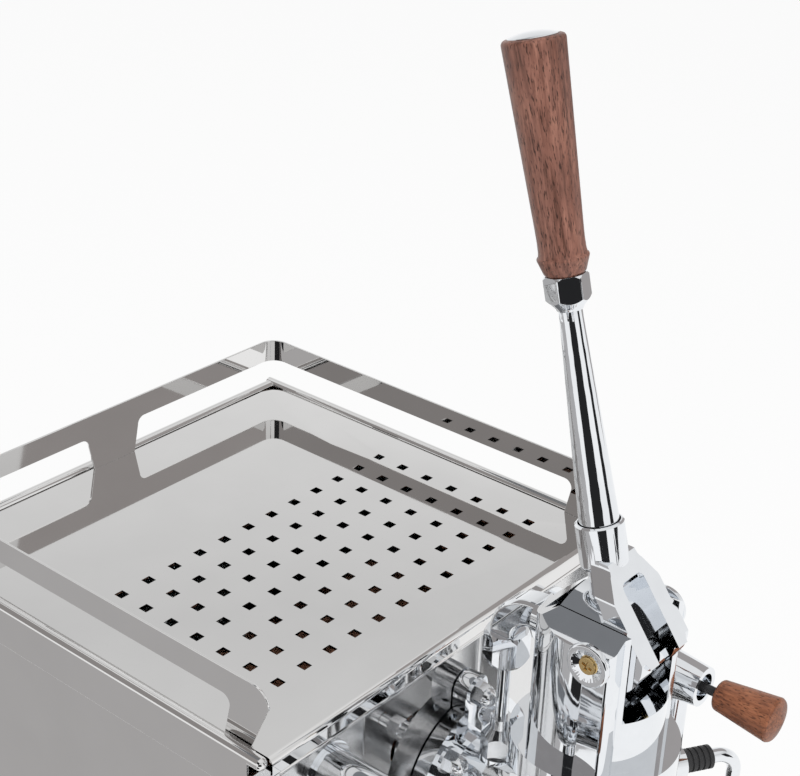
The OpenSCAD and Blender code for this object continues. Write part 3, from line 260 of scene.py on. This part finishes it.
@dataclass(frozen=True)
class OiledWood:
    """Open-grained wood with an oiled surface: a broad figure, fine streaks and dark open pores."""

    name: str
    dark: Colour
    middle: Colour
    light: Colour
    grain: Grain
    lean: float = math.radians(14.7)
    figure_scale: float = 75.0
    figure_stretch: float = 0.24
    figure_share: float = 0.5
    streak_scale: float = 480.0
    streak_stretch: float = 0.09
    streak_share: float = 0.55
    pore_scale: float = 1350.0
    pore_stretch: float = 0.17
    pore_shade: float = 0.45
    pore_depth: float = 0.00012
    gloss: Pair = (0.32, 0.46)
    sheen: float = 0.35

    def build(self) -> bpy.types.Material:
        """Makes the finish.

        Returns:
            The material.
        """
        sheet = NodeSheet(self.name)
        turn = self.lean if self.grain is Grain.ALONG_LEVER else math.radians(90.0)
        figure = sheet.noise(sheet.place(turn, self.figure_stretch), self.figure_scale, 5.0, 0.58)
        streak = sheet.noise(sheet.place(turn, self.streak_stretch), self.streak_scale, 4.0, 0.6)
        pores = sheet.noise(sheet.place(turn, self.pore_stretch), self.pore_scale, 2.0, 0.5)
        blend = sheet.sums("MULTIPLY_ADD", streak, self.streak_share)
        share = sheet.sums("MULTIPLY", figure, self.figure_share)
        sheet.join(share.outputs[0], blend.inputs[2])
        wood = sheet.ramp(blend.outputs[0], [(0.38, self.dark), (0.53, self.middle), (0.68, self.light)])
        closed = sheet.span(pores, (0.33, 0.45), (0.0, 1.0))
        mix = sheet.add("ShaderNodeMix")
        mix.data_type = "RGBA"
        mix.inputs["A"].default_value = (*[c * self.pore_shade for c in self.dark], 1.0)
        sheet.join(closed, mix.inputs["Factor"])
        sheet.join(wood, mix.inputs["B"])
        sheet.feed(mix.outputs["Result"], "Base Color")
        sheet.feed(sheet.span(streak, (0.3, 0.7), self.gloss), "Roughness")
        sheet.set("Specular IOR Level", self.sheen)
        sheet.bump(closed, self.pore_depth, 0.6)
        return sheet.material


@dataclass(frozen=True)
class Moulded:
    """Moulded rubber or plastic, or a painted part, with a fine matte skin."""

    name: str
    colour: Colour
    roughness: Pair = (0.45, 0.65)
    skin: float = 0.00004
    skin_scale: float = 900.0
    cloud_scale: float = 40.0

    def build(self) -> bpy.types.Material:
        """Makes the finish.

        Returns:
            The material.
        """
        sheet = NodeSheet(self.name)
        at = sheet.place()
        fine = sheet.noise(at, self.skin_scale)
        cloud = sheet.noise(at, self.cloud_scale)
        light = tuple(min(1.0, c * 1.35 + 0.004) for c in self.colour)
        sheet.feed(sheet.ramp(cloud, [(0.35, self.colour), (0.7, light)]), "Base Color")
        sheet.feed(sheet.span(cloud, (0.3, 0.7), self.roughness), "Roughness")
        sheet.bump(fine, self.skin, 0.5)
        return sheet.material


@dataclass(frozen=True)
class ClearPlastic:
    """Clear tank plastic, faintly hazed."""

    name: str
    colour: Colour = (0.80, 0.88, 0.90)
    haze: Pair = (0.08, 0.2)
    clearness: float = 0.9
    ior: float = 1.45

    def build(self) -> bpy.types.Material:
        """Makes the finish.

        Returns:
            The material.
        """
        sheet = NodeSheet(self.name)
        cloud = sheet.noise(sheet.place(), 25.0)
        low = tuple(c * 0.95 for c in self.colour)
        sheet.feed(sheet.ramp(cloud, [(0.3, low), (0.7, self.colour)]), "Base Color")
        sheet.feed(sheet.span(cloud, (0.3, 0.7), self.haze), "Roughness")
        sheet.set("Transmission Weight", self.clearness)
        sheet.set("IOR", self.ior)
        return sheet.material


@dataclass(frozen=True)
class ThinGlass:
    """A thin pane: mostly clear, with a faint sheen."""

    name: str
    colour: Colour = (0.02, 0.025, 0.025)
    haze: Pair = (0.03, 0.08)
    cover: Pair = (0.10, 0.14)

    def build(self) -> bpy.types.Material:
        """Makes the finish.

        Returns:
            The material.
        """
        sheet = NodeSheet(self.name)
        cloud = sheet.noise(sheet.place(), 60.0, 2.0)
        sheet.set("Base Color", (*self.colour, 1.0))
        sheet.feed(sheet.span(cloud, (0.3, 0.7), self.haze), "Roughness")
        sheet.feed(sheet.span(cloud, (0.3, 0.7), self.cover), "Alpha")
        return sheet.material


@dataclass
class Finishes:
    """All the finishes, built once."""

    made: dict[str, bpy.types.Material] = field(default_factory=dict)

    def build(self) -> "Finishes":
        """Builds each finish.

        Returns:
            The same set, filled.
        """
        for finish in (
            Polished("mirror_sheet", (0.80, 0.795, 0.79), (0.015, 0.05), 0.00004, 9.0),
            Polished("chrome_cast", CHROME, (0.02, 0.06), 0.00006, 45.0),
            Polished("chrome_turned", CHROME, (0.02, 0.05), 0.00001, 60.0),
            Polished("satin_sheet", (0.80, 0.80, 0.80), (0.20, 0.28), 0.00002, 12.0),
            Polished("soft_chrome", (0.80, 0.815, 0.835), (0.13, 0.19), 0.00002, 60.0),
            Polished("bare_steel", (0.56, 0.57, 0.58), (0.18, 0.32), 0.00003, 200.0),
            Polished("brass", (0.72, 0.52, 0.24), (0.15, 0.3), 0.00003, 150.0),
            Polished("copper_shell", (0.72, 0.38, 0.25), (0.2, 0.38), 0.00005, 60.0),
            OiledWood("walnut", *WALNUT, Grain.ALONG_LEVER),
            OiledWood("walnut_holder", *WALNUT, Grain.ALONG_Y),
            OiledWood("red_walnut", *RED_WALNUT, Grain.ALONG_Y),
            Moulded("black_rubber", (0.018, 0.018, 0.019)),
            Moulded("black_plastic", (0.022, 0.022, 0.023), (0.28, 0.4), 0.00002, 1400.0),
            Moulded("black_metal", (0.012, 0.012, 0.013), (0.22, 0.36), 0.00002, 500.0),
            Moulded("dial_white", (0.78, 0.77, 0.74), (0.4, 0.5), 0.00001, 300.0),
            Moulded("dial_black", (0.02, 0.02, 0.02), (0.4, 0.5), 0.00001, 300.0),
            ClearPlastic("clear_plastic"),
            ThinGlass("clear_glass"),
        ):
            self.made[finish.name] = finish.build()
        return self

    def dress(self, piece: bpy.types.Object, finish: str) -> None:
        """Gives a piece one finish all over.

        Args:
            piece: the piece.
            finish: the finish's name.
        """
        piece.data.materials.clear()
        piece.data.materials.append(self.made[finish])


class Bench:
    """Hand work on meshes: selecting, breaking edges, applying and seating pieces."""

    MERGE_GAP = 0.00001
    FLAT_ANGLE = math.radians(0.4)
    SHARP_ANGLE = math.radians(35.0)
    SMOOTH_ANGLE = math.radians(32.0)
    EDGE_STEPS = 2
    FACE_WEIGHT = 60

    @staticmethod
    def clear() -> None:
        """Deselects everything."""
        if bpy.context.object and bpy.context.object.mode != "OBJECT":
            bpy.ops.object.mode_set(mode="OBJECT")
        bpy.ops.object.select_all(action="DESELECT")

    @staticmethod
    def take(piece: bpy.types.Object) -> None:
        """Selects one piece alone and makes it active.

        Args:
            piece: the piece.
        """
        Bench.clear()
        piece.select_set(True)
        bpy.context.view_layer.objects.active = piece

    @staticmethod
    def edit(piece: bpy.types.Object) -> None:
        """Opens one piece for editing with all of it selected.

        Args:
            piece: the piece.
        """
        Bench.take(piece)
        bpy.ops.object.mode_set(mode="EDIT")
        bpy.ops.mesh.select_all(action="SELECT")

    @staticmethod
    def settle(piece: bpy.types.Object, name: str) -> bpy.types.Object:
        """Names a new piece and puts its place into its mesh.

        Args:
            piece: the piece as it was added.
            name: its name.

        Returns:
            The same piece, at the origin.
        """
        piece.name = name
        piece.data.name = name
        Bench.take(piece)
        bpy.ops.object.transform_apply(location=True, rotation=True, scale=True)
        return piece

    @staticmethod
    def apply(piece: bpy.types.Object, kind: str, **values: object) -> None:
        """Adds a modifier, sets it and applies it.

        Args:
            piece: the piece.
            kind: the modifier's type.
            values: its settings.
        """
        modifier = piece.modifiers.new(kind.lower(), kind)
        for key, value in values.items():
            setattr(modifier, key, value)
        Bench.take(piece)
        bpy.ops.object.modifier_apply(modifier=modifier.name)

    @staticmethod
    def smooth(piece: bpy.types.Object) -> None:
        """Shades a piece smooth but for its sharp edges."""
        Bench.take(piece)
        bpy.ops.object.shade_smooth_by_angle(angle=Bench.SMOOTH_ANGLE)

    @staticmethod
    def broken_edges(node: str, width: float) -> bpy.types.Object:
        """Copies a solid, merges its triangles and breaks its sharp edges.

        Args:
            node: the solid's name.
            width: the width of the broken edge, or 0 for none.

        Returns:
            The new piece.
        """
        piece = bpy.data.objects.new(node + "_finished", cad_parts[node].data.copy())
        bpy.context.scene.collection.objects.link(piece)
        Bench.edit(piece)
        bpy.ops.mesh.remove_doubles(threshold=Bench.MERGE_GAP)
        if width:
            bpy.ops.mesh.dissolve_limited(angle_limit=Bench.FLAT_ANGLE)
        bpy.ops.object.mode_set(mode="OBJECT")
        if width:
            Bench.apply(piece, "BEVEL", width=width, segments=Bench.EDGE_STEPS, limit_method="ANGLE",
                        angle_limit=Bench.SHARP_ANGLE, use_clamp_overlap=True, miter_outer="MITER_ARC")
        Bench.smooth(piece)
        Bench.apply(piece, "WEIGHTED_NORMAL", keep_sharp=True, weight=Bench.FACE_WEIGHT)
        return piece


@dataclass
class Casting:
    """One solid that is stood for by a dressed copy, with its edges broken by edge, in mm, or left sharp."""

    node: str
    body: Body
    finish: str
    edge: float = 0.0

    def make(self, finishes: Finishes) -> bpy.types.Object:
        """Makes and seats the solid's finished copy.

        Args:
            finishes: the built finishes.

        Returns:
            The finished copy.
        """
        piece = Bench.broken_edges(self.node, self.edge * MM)
        finishes.dress(piece, self.finish)
        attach(piece, self.body.value)
        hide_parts(self.node)
        LOG.info("%s on %s in %s", piece.name, self.body.value, self.finish)
        return piece


@dataclass
class Casing:
    """The sheet-steel body, its feet and what stands inside it.

    Edges are in mm, and perforated sheets stay sharp.
    """

    sheet_edge: float = 0.25
    folded_edge: float = 0.3
    rubber_edge: float = 0.8
    sheets: tuple[str, ...] = ("base_pan", "left_panel", "right_panel", "rim_left", "rim_right", "rim_back",
                               "front_bar")

    def build(self, finishes: Finishes) -> None:
        """Dresses every piece of the casing.

        Args:
            finishes: the built finishes.
        """
        for node in self.sheets:
            Casting(node, Body.MACHINE, "mirror_sheet", self.sheet_edge).make(finishes)
        Casting("front_panel", Body.MACHINE, "satin_sheet", self.sheet_edge).make(finishes)
        Casting("feet", Body.MACHINE, "black_rubber", self.rubber_edge).make(finishes)
        Casting("back_panel", Body.MACHINE, "mirror_sheet").make(finishes)
        Casting("cup_shelf", Body.SHELF, "mirror_sheet").make(finishes)
        Casting("cup_rail", Body.SHELF, "mirror_sheet", self.folded_edge).make(finishes)
        Casting("drip_tray", Body.TRAY, "mirror_sheet", self.folded_edge).make(finishes)
        Casting("drip_grate", Body.GRATE, "mirror_sheet").make(finishes)
        for node, finish, edge in (
            ("water_tank", "clear_plastic", 0.5),
            ("boiler", "copper_shell", 0.5),
            ("heating_element", "brass", 0.4),
            ("pump", "black_plastic", 0.8),
            ("inlet_socket", "black_plastic", 0.0),
            ("switch_frame", "black_plastic", 0.4),
            ("gauge_case", "chrome_turned", 0.5),
        ):
            Casting(node, Body.MACHINE, finish, edge).make(finishes)
        Casting("switch_rocker", Body.SWITCH, "black_plastic", 0.5).make(finishes)


@dataclass
class LeverGroup:
    """The spring-lever group with its flange, bypass line, fork, lever and filter holder, sized in mm."""

    cast_edge: float = 1.2
    fork_edge: float = 0.4
    ring_edge: float = 0.2
    piston_edge: float = 0.3
    stroke: float = 25.8

    def spring(self, finishes: Finishes) -> None:
        """Makes the main spring with a mesh of its own; it is set on the machine, so it doesn't shorten as the
        lever lifts the piston under it.

        Args:
            finishes: the built finishes.
        """
        piece = Casting("main_spring", Body.MACHINE, "bare_steel").make(finishes)
        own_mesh(piece)

    def fixed(self, finishes: Finishes) -> None:
        """Dresses the castings, fittings and seals that stay with the machine.

        Args:
            finishes: the built finishes.
        """
        for node, finish, edge in (
            ("group_head", "chrome_cast", self.cast_edge),
            ("group_cylinder", "chrome_cast", self.cast_edge),
            ("mounting_flange", "soft_chrome", 0.8),
            ("flange_studs", "soft_chrome", 0.4),
            ("flange_nuts", "soft_chrome", 0.4),
            ("neck_fitting", "soft_chrome", 0.5),
            ("feed_tube", "soft_chrome", 0.4),
            ("pin_caps", "chrome_turned", 0.4),
            ("bypass_tube", "chrome_turned", 0.0),
            ("elbow_nut", "chrome_turned", 0.6),
            ("elbow", "chrome_turned", 0.8),
            ("flange_gasket", "black_rubber", self.ring_edge),
            ("group_gasket", "black_rubber", self.ring_edge),
            ("shower_screen", "bare_steel", self.ring_edge),
            ("fork_pins", "brass", self.ring_edge),
        ):
            Casting(node, Body.MACHINE, finish, edge).make(finishes)

    def moving(self, finishes: Finishes) -> None:
        """Dresses the lever, the piston it lifts and the filter holder.

        Args:
            finishes: the built finishes.
        """
        for node, body, finish, edge in (
            ("fork", Body.LEVER, "chrome_cast", self.fork_edge),
            ("lever_rod", Body.LEVER, "chrome_turned", 0.0),
            ("lever_collar", Body.LEVER, "chrome_turned", 0.4),
            ("lever_handle", Body.LEVER, "walnut", 0.0),
            ("handle_cap", Body.LEVER, "chrome_turned", 0.5),
            ("crosshead_pin", Body.PISTON, "bare_steel", self.piston_edge),
            ("piston_rod", Body.PISTON, "bare_steel", self.piston_edge),
            ("piston", Body.PISTON, "brass", self.piston_edge),
            ("piston_seals", Body.PISTON, "black_rubber", self.piston_edge),
            ("filter_holder", Body.HOLDER, "chrome_cast", 0.8),
            ("holder_handle", Body.HOLDER, "walnut_holder", 0.0),
            ("basket", Body.HOLDER, "mirror_sheet", 0.2),
            ("spout", Body.HOLDER, "chrome_turned", 0.6),
        ):
            Casting(node, body, finish, edge).make(finishes)

    def build(self, finishes: Finishes) -> None:
        """Dresses every piece of the group.

        Args:
            finishes: the built finishes.
        """
        self.fixed(finishes)
        self.spring(finishes)
        self.moving(finishes)


@dataclass
class Taps:
    """The joystick taps and the wands that hang from them. Edges are in mm."""

    valve_edge: float = 0.7
    knob_edge: float = 0.8
    grip_edge: float = 0.4

    def build(self, finishes: Finishes) -> None:
        """Dresses both taps.

        Args:
            finishes: the built finishes.
        """
        for side, stick, pipe in (("steam", Body.STEAM_STICK, Body.STEAM_PIPE),
                                  ("water", Body.WATER_STICK, Body.WATER_PIPE)):
            Casting(side + "_valve", Body.MACHINE, "chrome_turned", self.valve_edge).make(finishes)
            Casting(side + "_stem", stick, "black_metal").make(finishes)
            Casting(side + "_knob", stick, "red_walnut", self.knob_edge).make(finishes)
            Casting(side + "_wand", pipe, "chrome_turned").make(finishes)
        Casting("steam_grip", Body.STEAM_PIPE, "black_rubber", self.grip_edge).make(finishes)


@dataclass
class Gauge:
    """The dial, marks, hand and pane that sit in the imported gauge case.

    The middle is in metres and all else in mm. A height is where a piece's back and front are, off the
    recess floor.
    """

    middle: Point = (0.108, 0.0005, 0.195)
    radius: float = 22.7
    circle_steps: int = 96
    dial_height: Pair = (0.0, 0.3)
    pane_height: Pair = (1.7, 2.3)
    marks: int = 13
    sweep: float = 264.0
    bold_every: int = 3
    bold_reach: Pair = (15.4, 20.4)
    bold_width: float = 1.1
    fine_reach: Pair = (17.6, 20.4)
    fine_width: float = 0.7
    mark_height: Pair = (0.25, 0.45)
    reading: float = 0.40
    hand_reach: Pair = (-5.0, 16.5)
    hand_widths: Pair = (1.8, 0.5)
    hand_height: Pair = (0.7, 1.0)
    boss_radius: float = 2.6
    boss_height: Pair = (0.3, 1.2)
    bar_edge: float = 0.04

    def disc(self, name: str, radius: float, height: Pair, soften: float) -> bpy.types.Object:
        """Turns a thin disc with softened edges.

        Args:
            name: its name.
            radius: its radius.
            height: where its back and front are.
            soften: the width of its broken edge.

        Returns:
            The disc.
        """
        back, front = height
        Bench.clear()
        x, y, z = self.middle
        bpy.ops.mesh.primitive_circle_add(vertices=self.circle_steps, radius=radius * MM, fill_type="NGON",
                                          location=(x, y - back * MM, z),
                                          rotation=(math.radians(90.0), 0.0, 0.0))
        disc = Bench.settle(bpy.context.object, name)
        Bench.edit(disc)
        bpy.ops.mesh.extrude_region_move(TRANSFORM_OT_translate={"value": (0.0, -(front - back) * MM, 0.0)})
        bpy.ops.mesh.select_all(action="SELECT")
        bpy.ops.mesh.normals_make_consistent(inside=False)
        Bench.clear()
        Bench.apply(disc, "BEVEL", width=soften * MM, segments=Bench.EDGE_STEPS, limit_method="ANGLE",
                    angle_limit=Bench.SHARP_ANGLE)
        Bench.smooth(disc)
        return disc

    def bar(self, turn: float, reach: Pair, widths: Pair, height: Pair) -> bpy.types.Object:
        """Cuts one bar, tapered if its widths differ, that points outward from the dial's middle.

        Args:
            turn: its direction in degrees from straight up, clockwise seen from the front.
            reach: where it starts and ends, from the middle.
            widths: its width at the start and at the end.
            height: where its back and front are.

        Returns:
            The bar.
        """
        (near, far), (back, front) = reach, height
        half_way = (near + far) / 2.0 * MM
        Bench.clear()
        bpy.ops.mesh.primitive_cube_add(size=1.0, location=(0.0, -(back + front) / 2.0 * MM, half_way),
                                        scale=(widths[0] * MM, (front - back) * MM, (far - near) * MM))
        bar = Bench.settle(bpy.context.object, "bar")
        if widths[0] != widths[1]:
            Bench.edit(bar)
            bpy.ops.mesh.select_all(action="DESELECT")
            bpy.ops.object.mode_set(mode="OBJECT")
            for corner in bar.data.vertices:
                corner.select = corner.co.z > half_way
            bpy.ops.object.mode_set(mode="EDIT")
            taper = (widths[1] / widths[0], 1.0, 1.0)
            bpy.ops.transform.resize(value=taper, center_override=(0.0, 0.0, far * MM))
            Bench.clear()
        bar.rotation_euler = (0.0, math.radians(turn), 0.0)
        bar.location = self.middle
        return Bench.settle(bar, "bar")

    def joined(self, name: str, bars: list[bpy.types.Object]) -> bpy.types.Object:
        """Joins bars into one piece with broken edges.

        Args:
            name: the piece's name.
            bars: its bars.

        Returns:
            The piece.
        """
        Bench.clear()
        for bar in bars:
            bar.select_set(True)
        bpy.context.view_layer.objects.active = bars[0]
        bpy.ops.object.join()
        piece = Bench.settle(bars[0], name)
        Bench.apply(piece, "BEVEL", width=self.bar_edge * MM, segments=1)
        Bench.smooth(piece)
        return piece

    def build(self, finishes: Finishes) -> None:
        """Makes the four pieces and seats them.

        Args:
            finishes: the built finishes.
        """
        start, step = -self.sweep / 2.0, self.sweep / (self.marks - 1)
        bars = []
        for i in range(self.marks):
            bold = i % self.bold_every == 0
            width = self.bold_width if bold else self.fine_width
            reach = self.bold_reach if bold else self.fine_reach
            bars.append(self.bar(start + step * i, reach, (width, width), self.mark_height))
        points_to = start + self.sweep * self.reading
        hand = self.bar(points_to, self.hand_reach, self.hand_widths, self.hand_height)
        boss = self.disc("gauge_boss", self.boss_radius, self.boss_height, 0.2)
        for piece, finish in ((self.disc("gauge_dial", self.radius, self.dial_height, 0.05), "dial_white"),
                              (self.joined("gauge_marks", bars), "dial_black"),
                              (self.joined("gauge_hand", [hand, boss]), "dial_black"),
                              (self.disc("gauge_glass", self.radius, self.pane_height, 0.1), "clear_glass")):
            finishes.dress(piece, finish)
            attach(piece, Body.MACHINE.value)
            LOG.info("%s on %s in %s", piece.name, Body.MACHINE.value, finish)


@dataclass(frozen=True)
class SoftBox:
    """An area lamp that lights the machine but isn't mirrored in its metal."""

    name: str
    place: Point
    aim: Point
    size: Pair
    power: float

    def hang(self) -> None:
        """Hangs the lamp at its place, turned to its aim."""
        data = bpy.data.lights.new(self.name, "AREA")
        data.shape = "RECTANGLE"
        data.size, data.size_y = self.size
        data.energy = self.power
        lamp = bpy.data.objects.new(self.name, data)
        bpy.context.scene.collection.objects.link(lamp)
        lamp.location = self.place
        lamp.visible_glossy = False
        lamp.rotation_euler = (Vector(self.aim) - Vector(self.place)).to_track_quat("-Z", "Y").to_euler()


@dataclass(frozen=True)
class Card:
    """A one-sided card that only the metal sees, glowing at a set tone: a painted reflection, dark or grey, in
    the polished parts.
    """

    name: str
    place: Point
    aim: Point
    size: Pair
    shade: Colour = BLACK_CARD

    def painted_reflection(self) -> bpy.types.Material:
        """Makes the card's surface: its shade glows in front as a painted reflection, nothing behind.

        Returns:
            The material.
        """
        sheet = NodeSheet(self.name + "_paper")
        # The set glow, which no lamp changes: the painted reflection's tone.
        glow = sheet.add("ShaderNodeEmission", Color=(*self.shade, 1.0), Strength=1.0)
        clear = sheet.add("ShaderNodeBsdfTransparent")
        side = sheet.add("ShaderNodeNewGeometry")
        mix = sheet.add("ShaderNodeMixShader")
        sheet.join(side.outputs["Backfacing"], mix.inputs["Fac"])
        sheet.join(glow.outputs[0], mix.inputs[1])
        sheet.join(clear.outputs[0], mix.inputs[2])
        sheet.surface(mix.outputs[0])
        return sheet.material

    def stand(self) -> None:
        """Stands the card at its place, turned to its aim."""
        Bench.clear()
        bpy.ops.mesh.primitive_plane_add(size=1.0)
        card = bpy.context.object
        turn = (Vector(self.aim) - Vector(self.place)).to_track_quat("Z", "Y").to_matrix().to_4x4()
        card.matrix_world = Matrix.Translation(self.place) @ turn @ Matrix.Diagonal((*self.size, 1.0, 1.0))
        card = Bench.settle(card, self.name)
        card.data.materials.append(self.painted_reflection())
        card.visible_camera = False
        card.visible_shadow = False
        card.visible_diffuse = False


@dataclass
class Studio:
    """White sweep, soft boxes, emissive cards that paint dark and grey reflections into the metal, and the
    camera.
    """

    eye: Point = (-0.667, -0.495, 0.9275)
    azimuth: float = math.radians(51.02)
    elevation: float = math.radians(26.24)
    roll: float = math.radians(2.24)
    lens: float = 74.43
    sensor: float = 36.0
    clip: Pair = (0.01, 100.0)
    floor_size: float = 30.0
    floor_level: float = -0.0005
    floor_tone: float = 0.82
    floor_glow: float = 0.93
    sweep_tones: tuple[Pair, ...] = ((0.0, 1.0), (0.12, 0.92), (0.45, 0.81), (0.56, 0.67), (0.8, 0.85))
    sweep_light: float = 0.36

    def camera(self) -> None:
        """Sets the camera where the photograph was taken from."""
        ca, sa = math.cos(self.azimuth), math.sin(self.azimuth)
        ce, se = math.cos(self.elevation), math.sin(self.elevation)
        ahead = Vector((ce * sa, ce * ca, -se))
        right = Vector((ca, -sa, 0.0))
        up = right.cross(ahead)
        cr, sr = math.cos(self.roll), math.sin(self.roll)
        side, top = cr * right + sr * up, cr * up - sr * right
        data = bpy.data.cameras.new("photo_camera")
        data.lens = self.lens
        data.sensor_width = self.sensor
        data.clip_start, data.clip_end = self.clip
        camera = bpy.data.objects.new("photo_camera", data)
        bpy.context.scene.collection.objects.link(camera)
        turn = Matrix((side, top, -ahead)).transposed().to_4x4()
        camera.matrix_world = Matrix.Translation(self.eye) @ turn
        bpy.context.scene.camera = camera

    @staticmethod
    def seen(tree: bpy.types.NodeTree) -> bpy.types.NodeSocket:
        """Gives a value that is 1 for rays that see the background directly or in metal and glass.

        Args:
            tree: the node tree it goes into.

        Returns:
            The value's socket.
        """
        path = tree.nodes.new("ShaderNodeLightPath")
        last = path.outputs["Is Camera Ray"]
        for name in ("Is Glossy Ray", "Is Transmission Ray"):
            either = tree.nodes.new("ShaderNodeMath")
            either.operation = "MAXIMUM"
            tree.links.new(last, either.inputs[0])
            tree.links.new(path.outputs[name], either.inputs[1])
            last = either.outputs[0]
        return last

    def world(self) -> None:
        """Makes the sweep's upper part: white at the horizon, greyer above."""
        world = bpy.data.worlds.new("sweep")
        bpy.context.scene.world = world
        world.use_nodes = True
        tree = world.node_tree
        back = tree.nodes["Background"]
        coords = tree.nodes.new("ShaderNodeTexCoord")
        parts = tree.nodes.new("ShaderNodeSeparateXYZ")
        tree.links.new(coords.outputs["Generated"], parts.inputs[0])
        ramp = tree.nodes.new("ShaderNodeValToRGB")
        tree.links.new(parts.outputs["Z"], ramp.inputs["Fac"])
        for _ in self.sweep_tones[2:]:
            ramp.color_ramp.elements.new(0.5)
        for element, (place, level) in zip(ramp.color_ramp.elements, self.sweep_tones):
            element.position = place
            element.color = (level, level, level, 1.0)
        tree.links.new(ramp.outputs["Color"], back.inputs["Color"])
        strength = tree.nodes.new("ShaderNodeMapRange")
        strength.inputs["To Min"].default_value = self.sweep_light
        tree.links.new(self.seen(tree), strength.inputs["Value"])
        tree.links.new(strength.outputs["Result"], back.inputs["Strength"])

    def floor(self) -> None:
        """Lays the white floor."""
        Bench.clear()
        bpy.ops.mesh.primitive_plane_add(size=self.floor_size, location=(0.0, 0.0, self.floor_level))
        floor = Bench.settle(bpy.context.object, "floor")
        sheet = NodeSheet("white_sweep")
        sheet.set("Base Color", (self.floor_tone, self.floor_tone, self.floor_tone, 1.0))
        sheet.set("Roughness", 0.9)
        glow = sheet.add("ShaderNodeEmission", Color=(1.0, 1.0, 1.0, 1.0), Strength=1.0)
        mix = sheet.add("ShaderNodeMixShader")
        share = sheet.sums("MULTIPLY", self.seen(sheet.tree), self.floor_glow)
        sheet.join(share.outputs[0], mix.inputs["Fac"])
        sheet.join(sheet.shader.outputs[0], mix.inputs[1])
        sheet.join(glow.outputs[0], mix.inputs[2])
        sheet.surface(mix.outputs[0])
        floor.data.materials.append(sheet.material)

    def build(self) -> None:
        """Sets up the whole studio."""
        self.camera()
        self.world()
        self.floor()
        for lamp in (
            SoftBox("key_box", (-1.5, -1.5, 2.1), (0.0, 0.0, 0.5), (1.3, 1.3), 62.0),
            SoftBox("fill_box", (1.2, -1.3, 2.8), (0.0, -0.1, 0.4), (1.4, 1.4), 12.0),
            SoftBox("back_box", (0.5, 1.6, 3.0), (0.0, 0.0, 0.5), (2.2, 1.2), 20.0),
        ):
            lamp.hang()
        # Cards seen only in reflections, each glowing at a set tone: painted dark and grey reflections in the
        # chrome and sheet.
        for card in (
            Card("camera_card", (-1.25, -1.05, 0.45), (0.0, -0.12, 0.55), (1.5, 0.9)),
            Card("front_card", (0.9, -2.6, 0.8), (0.0, -0.1, 0.5), (1.0, 1.8)),
            # A grey glow lying on the floor, seen only in the left panel and rail: a painted reflection of a
            # floor darker than the white one the camera sees.
            Card("left_floor_card", (-0.82, 0.72, 0.002), (-0.82, 0.72, 1.0), (1.15, 1.25),
                 (0.445, 0.435, 0.435)),
            Card("left_card", (-1.5, -0.15, 1.25), (-0.05, -0.1, 0.38), (1.5, 1.0)),
            Card("arch_card", (0.0, 0.52, 1.60), (0.0, -0.11, 0.43), (1.3, 0.55), (0.20, 0.205, 0.215)),
            Card("left_rear_card", (-0.80, 0.85, 1.02), (0.1, 0.15, 0.38), (1.3, 1.1), (0.30, 0.283, 0.278)),
            Card("front_right_card", (0.442, -0.041, 0.635), (0.062, 0.269, 0.385), (0.44, 0.46),
                 (0.375, 0.352, 0.346)),
            Card("side_floor_card", (-0.64, -0.10, 0.002), (-0.64, -0.10, 1.0), (0.50, 0.30)),
        ):
            card.stand()
        bpy.context.scene.view_settings.view_transform = "Standard"
        LOG.info("studio and camera set")


def main() -> None:
    """Builds the machine's looks, then the studio."""
    logging.basicConfig(level=logging.INFO, format="%(message)s")
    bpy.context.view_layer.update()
    finishes = Finishes().build()
    Casing().build(finishes)
    LeverGroup().build(finishes)
    Taps().build(finishes)
    Gauge().build(finishes)
    Studio().build()


if __name__ == "__main__":
    main()
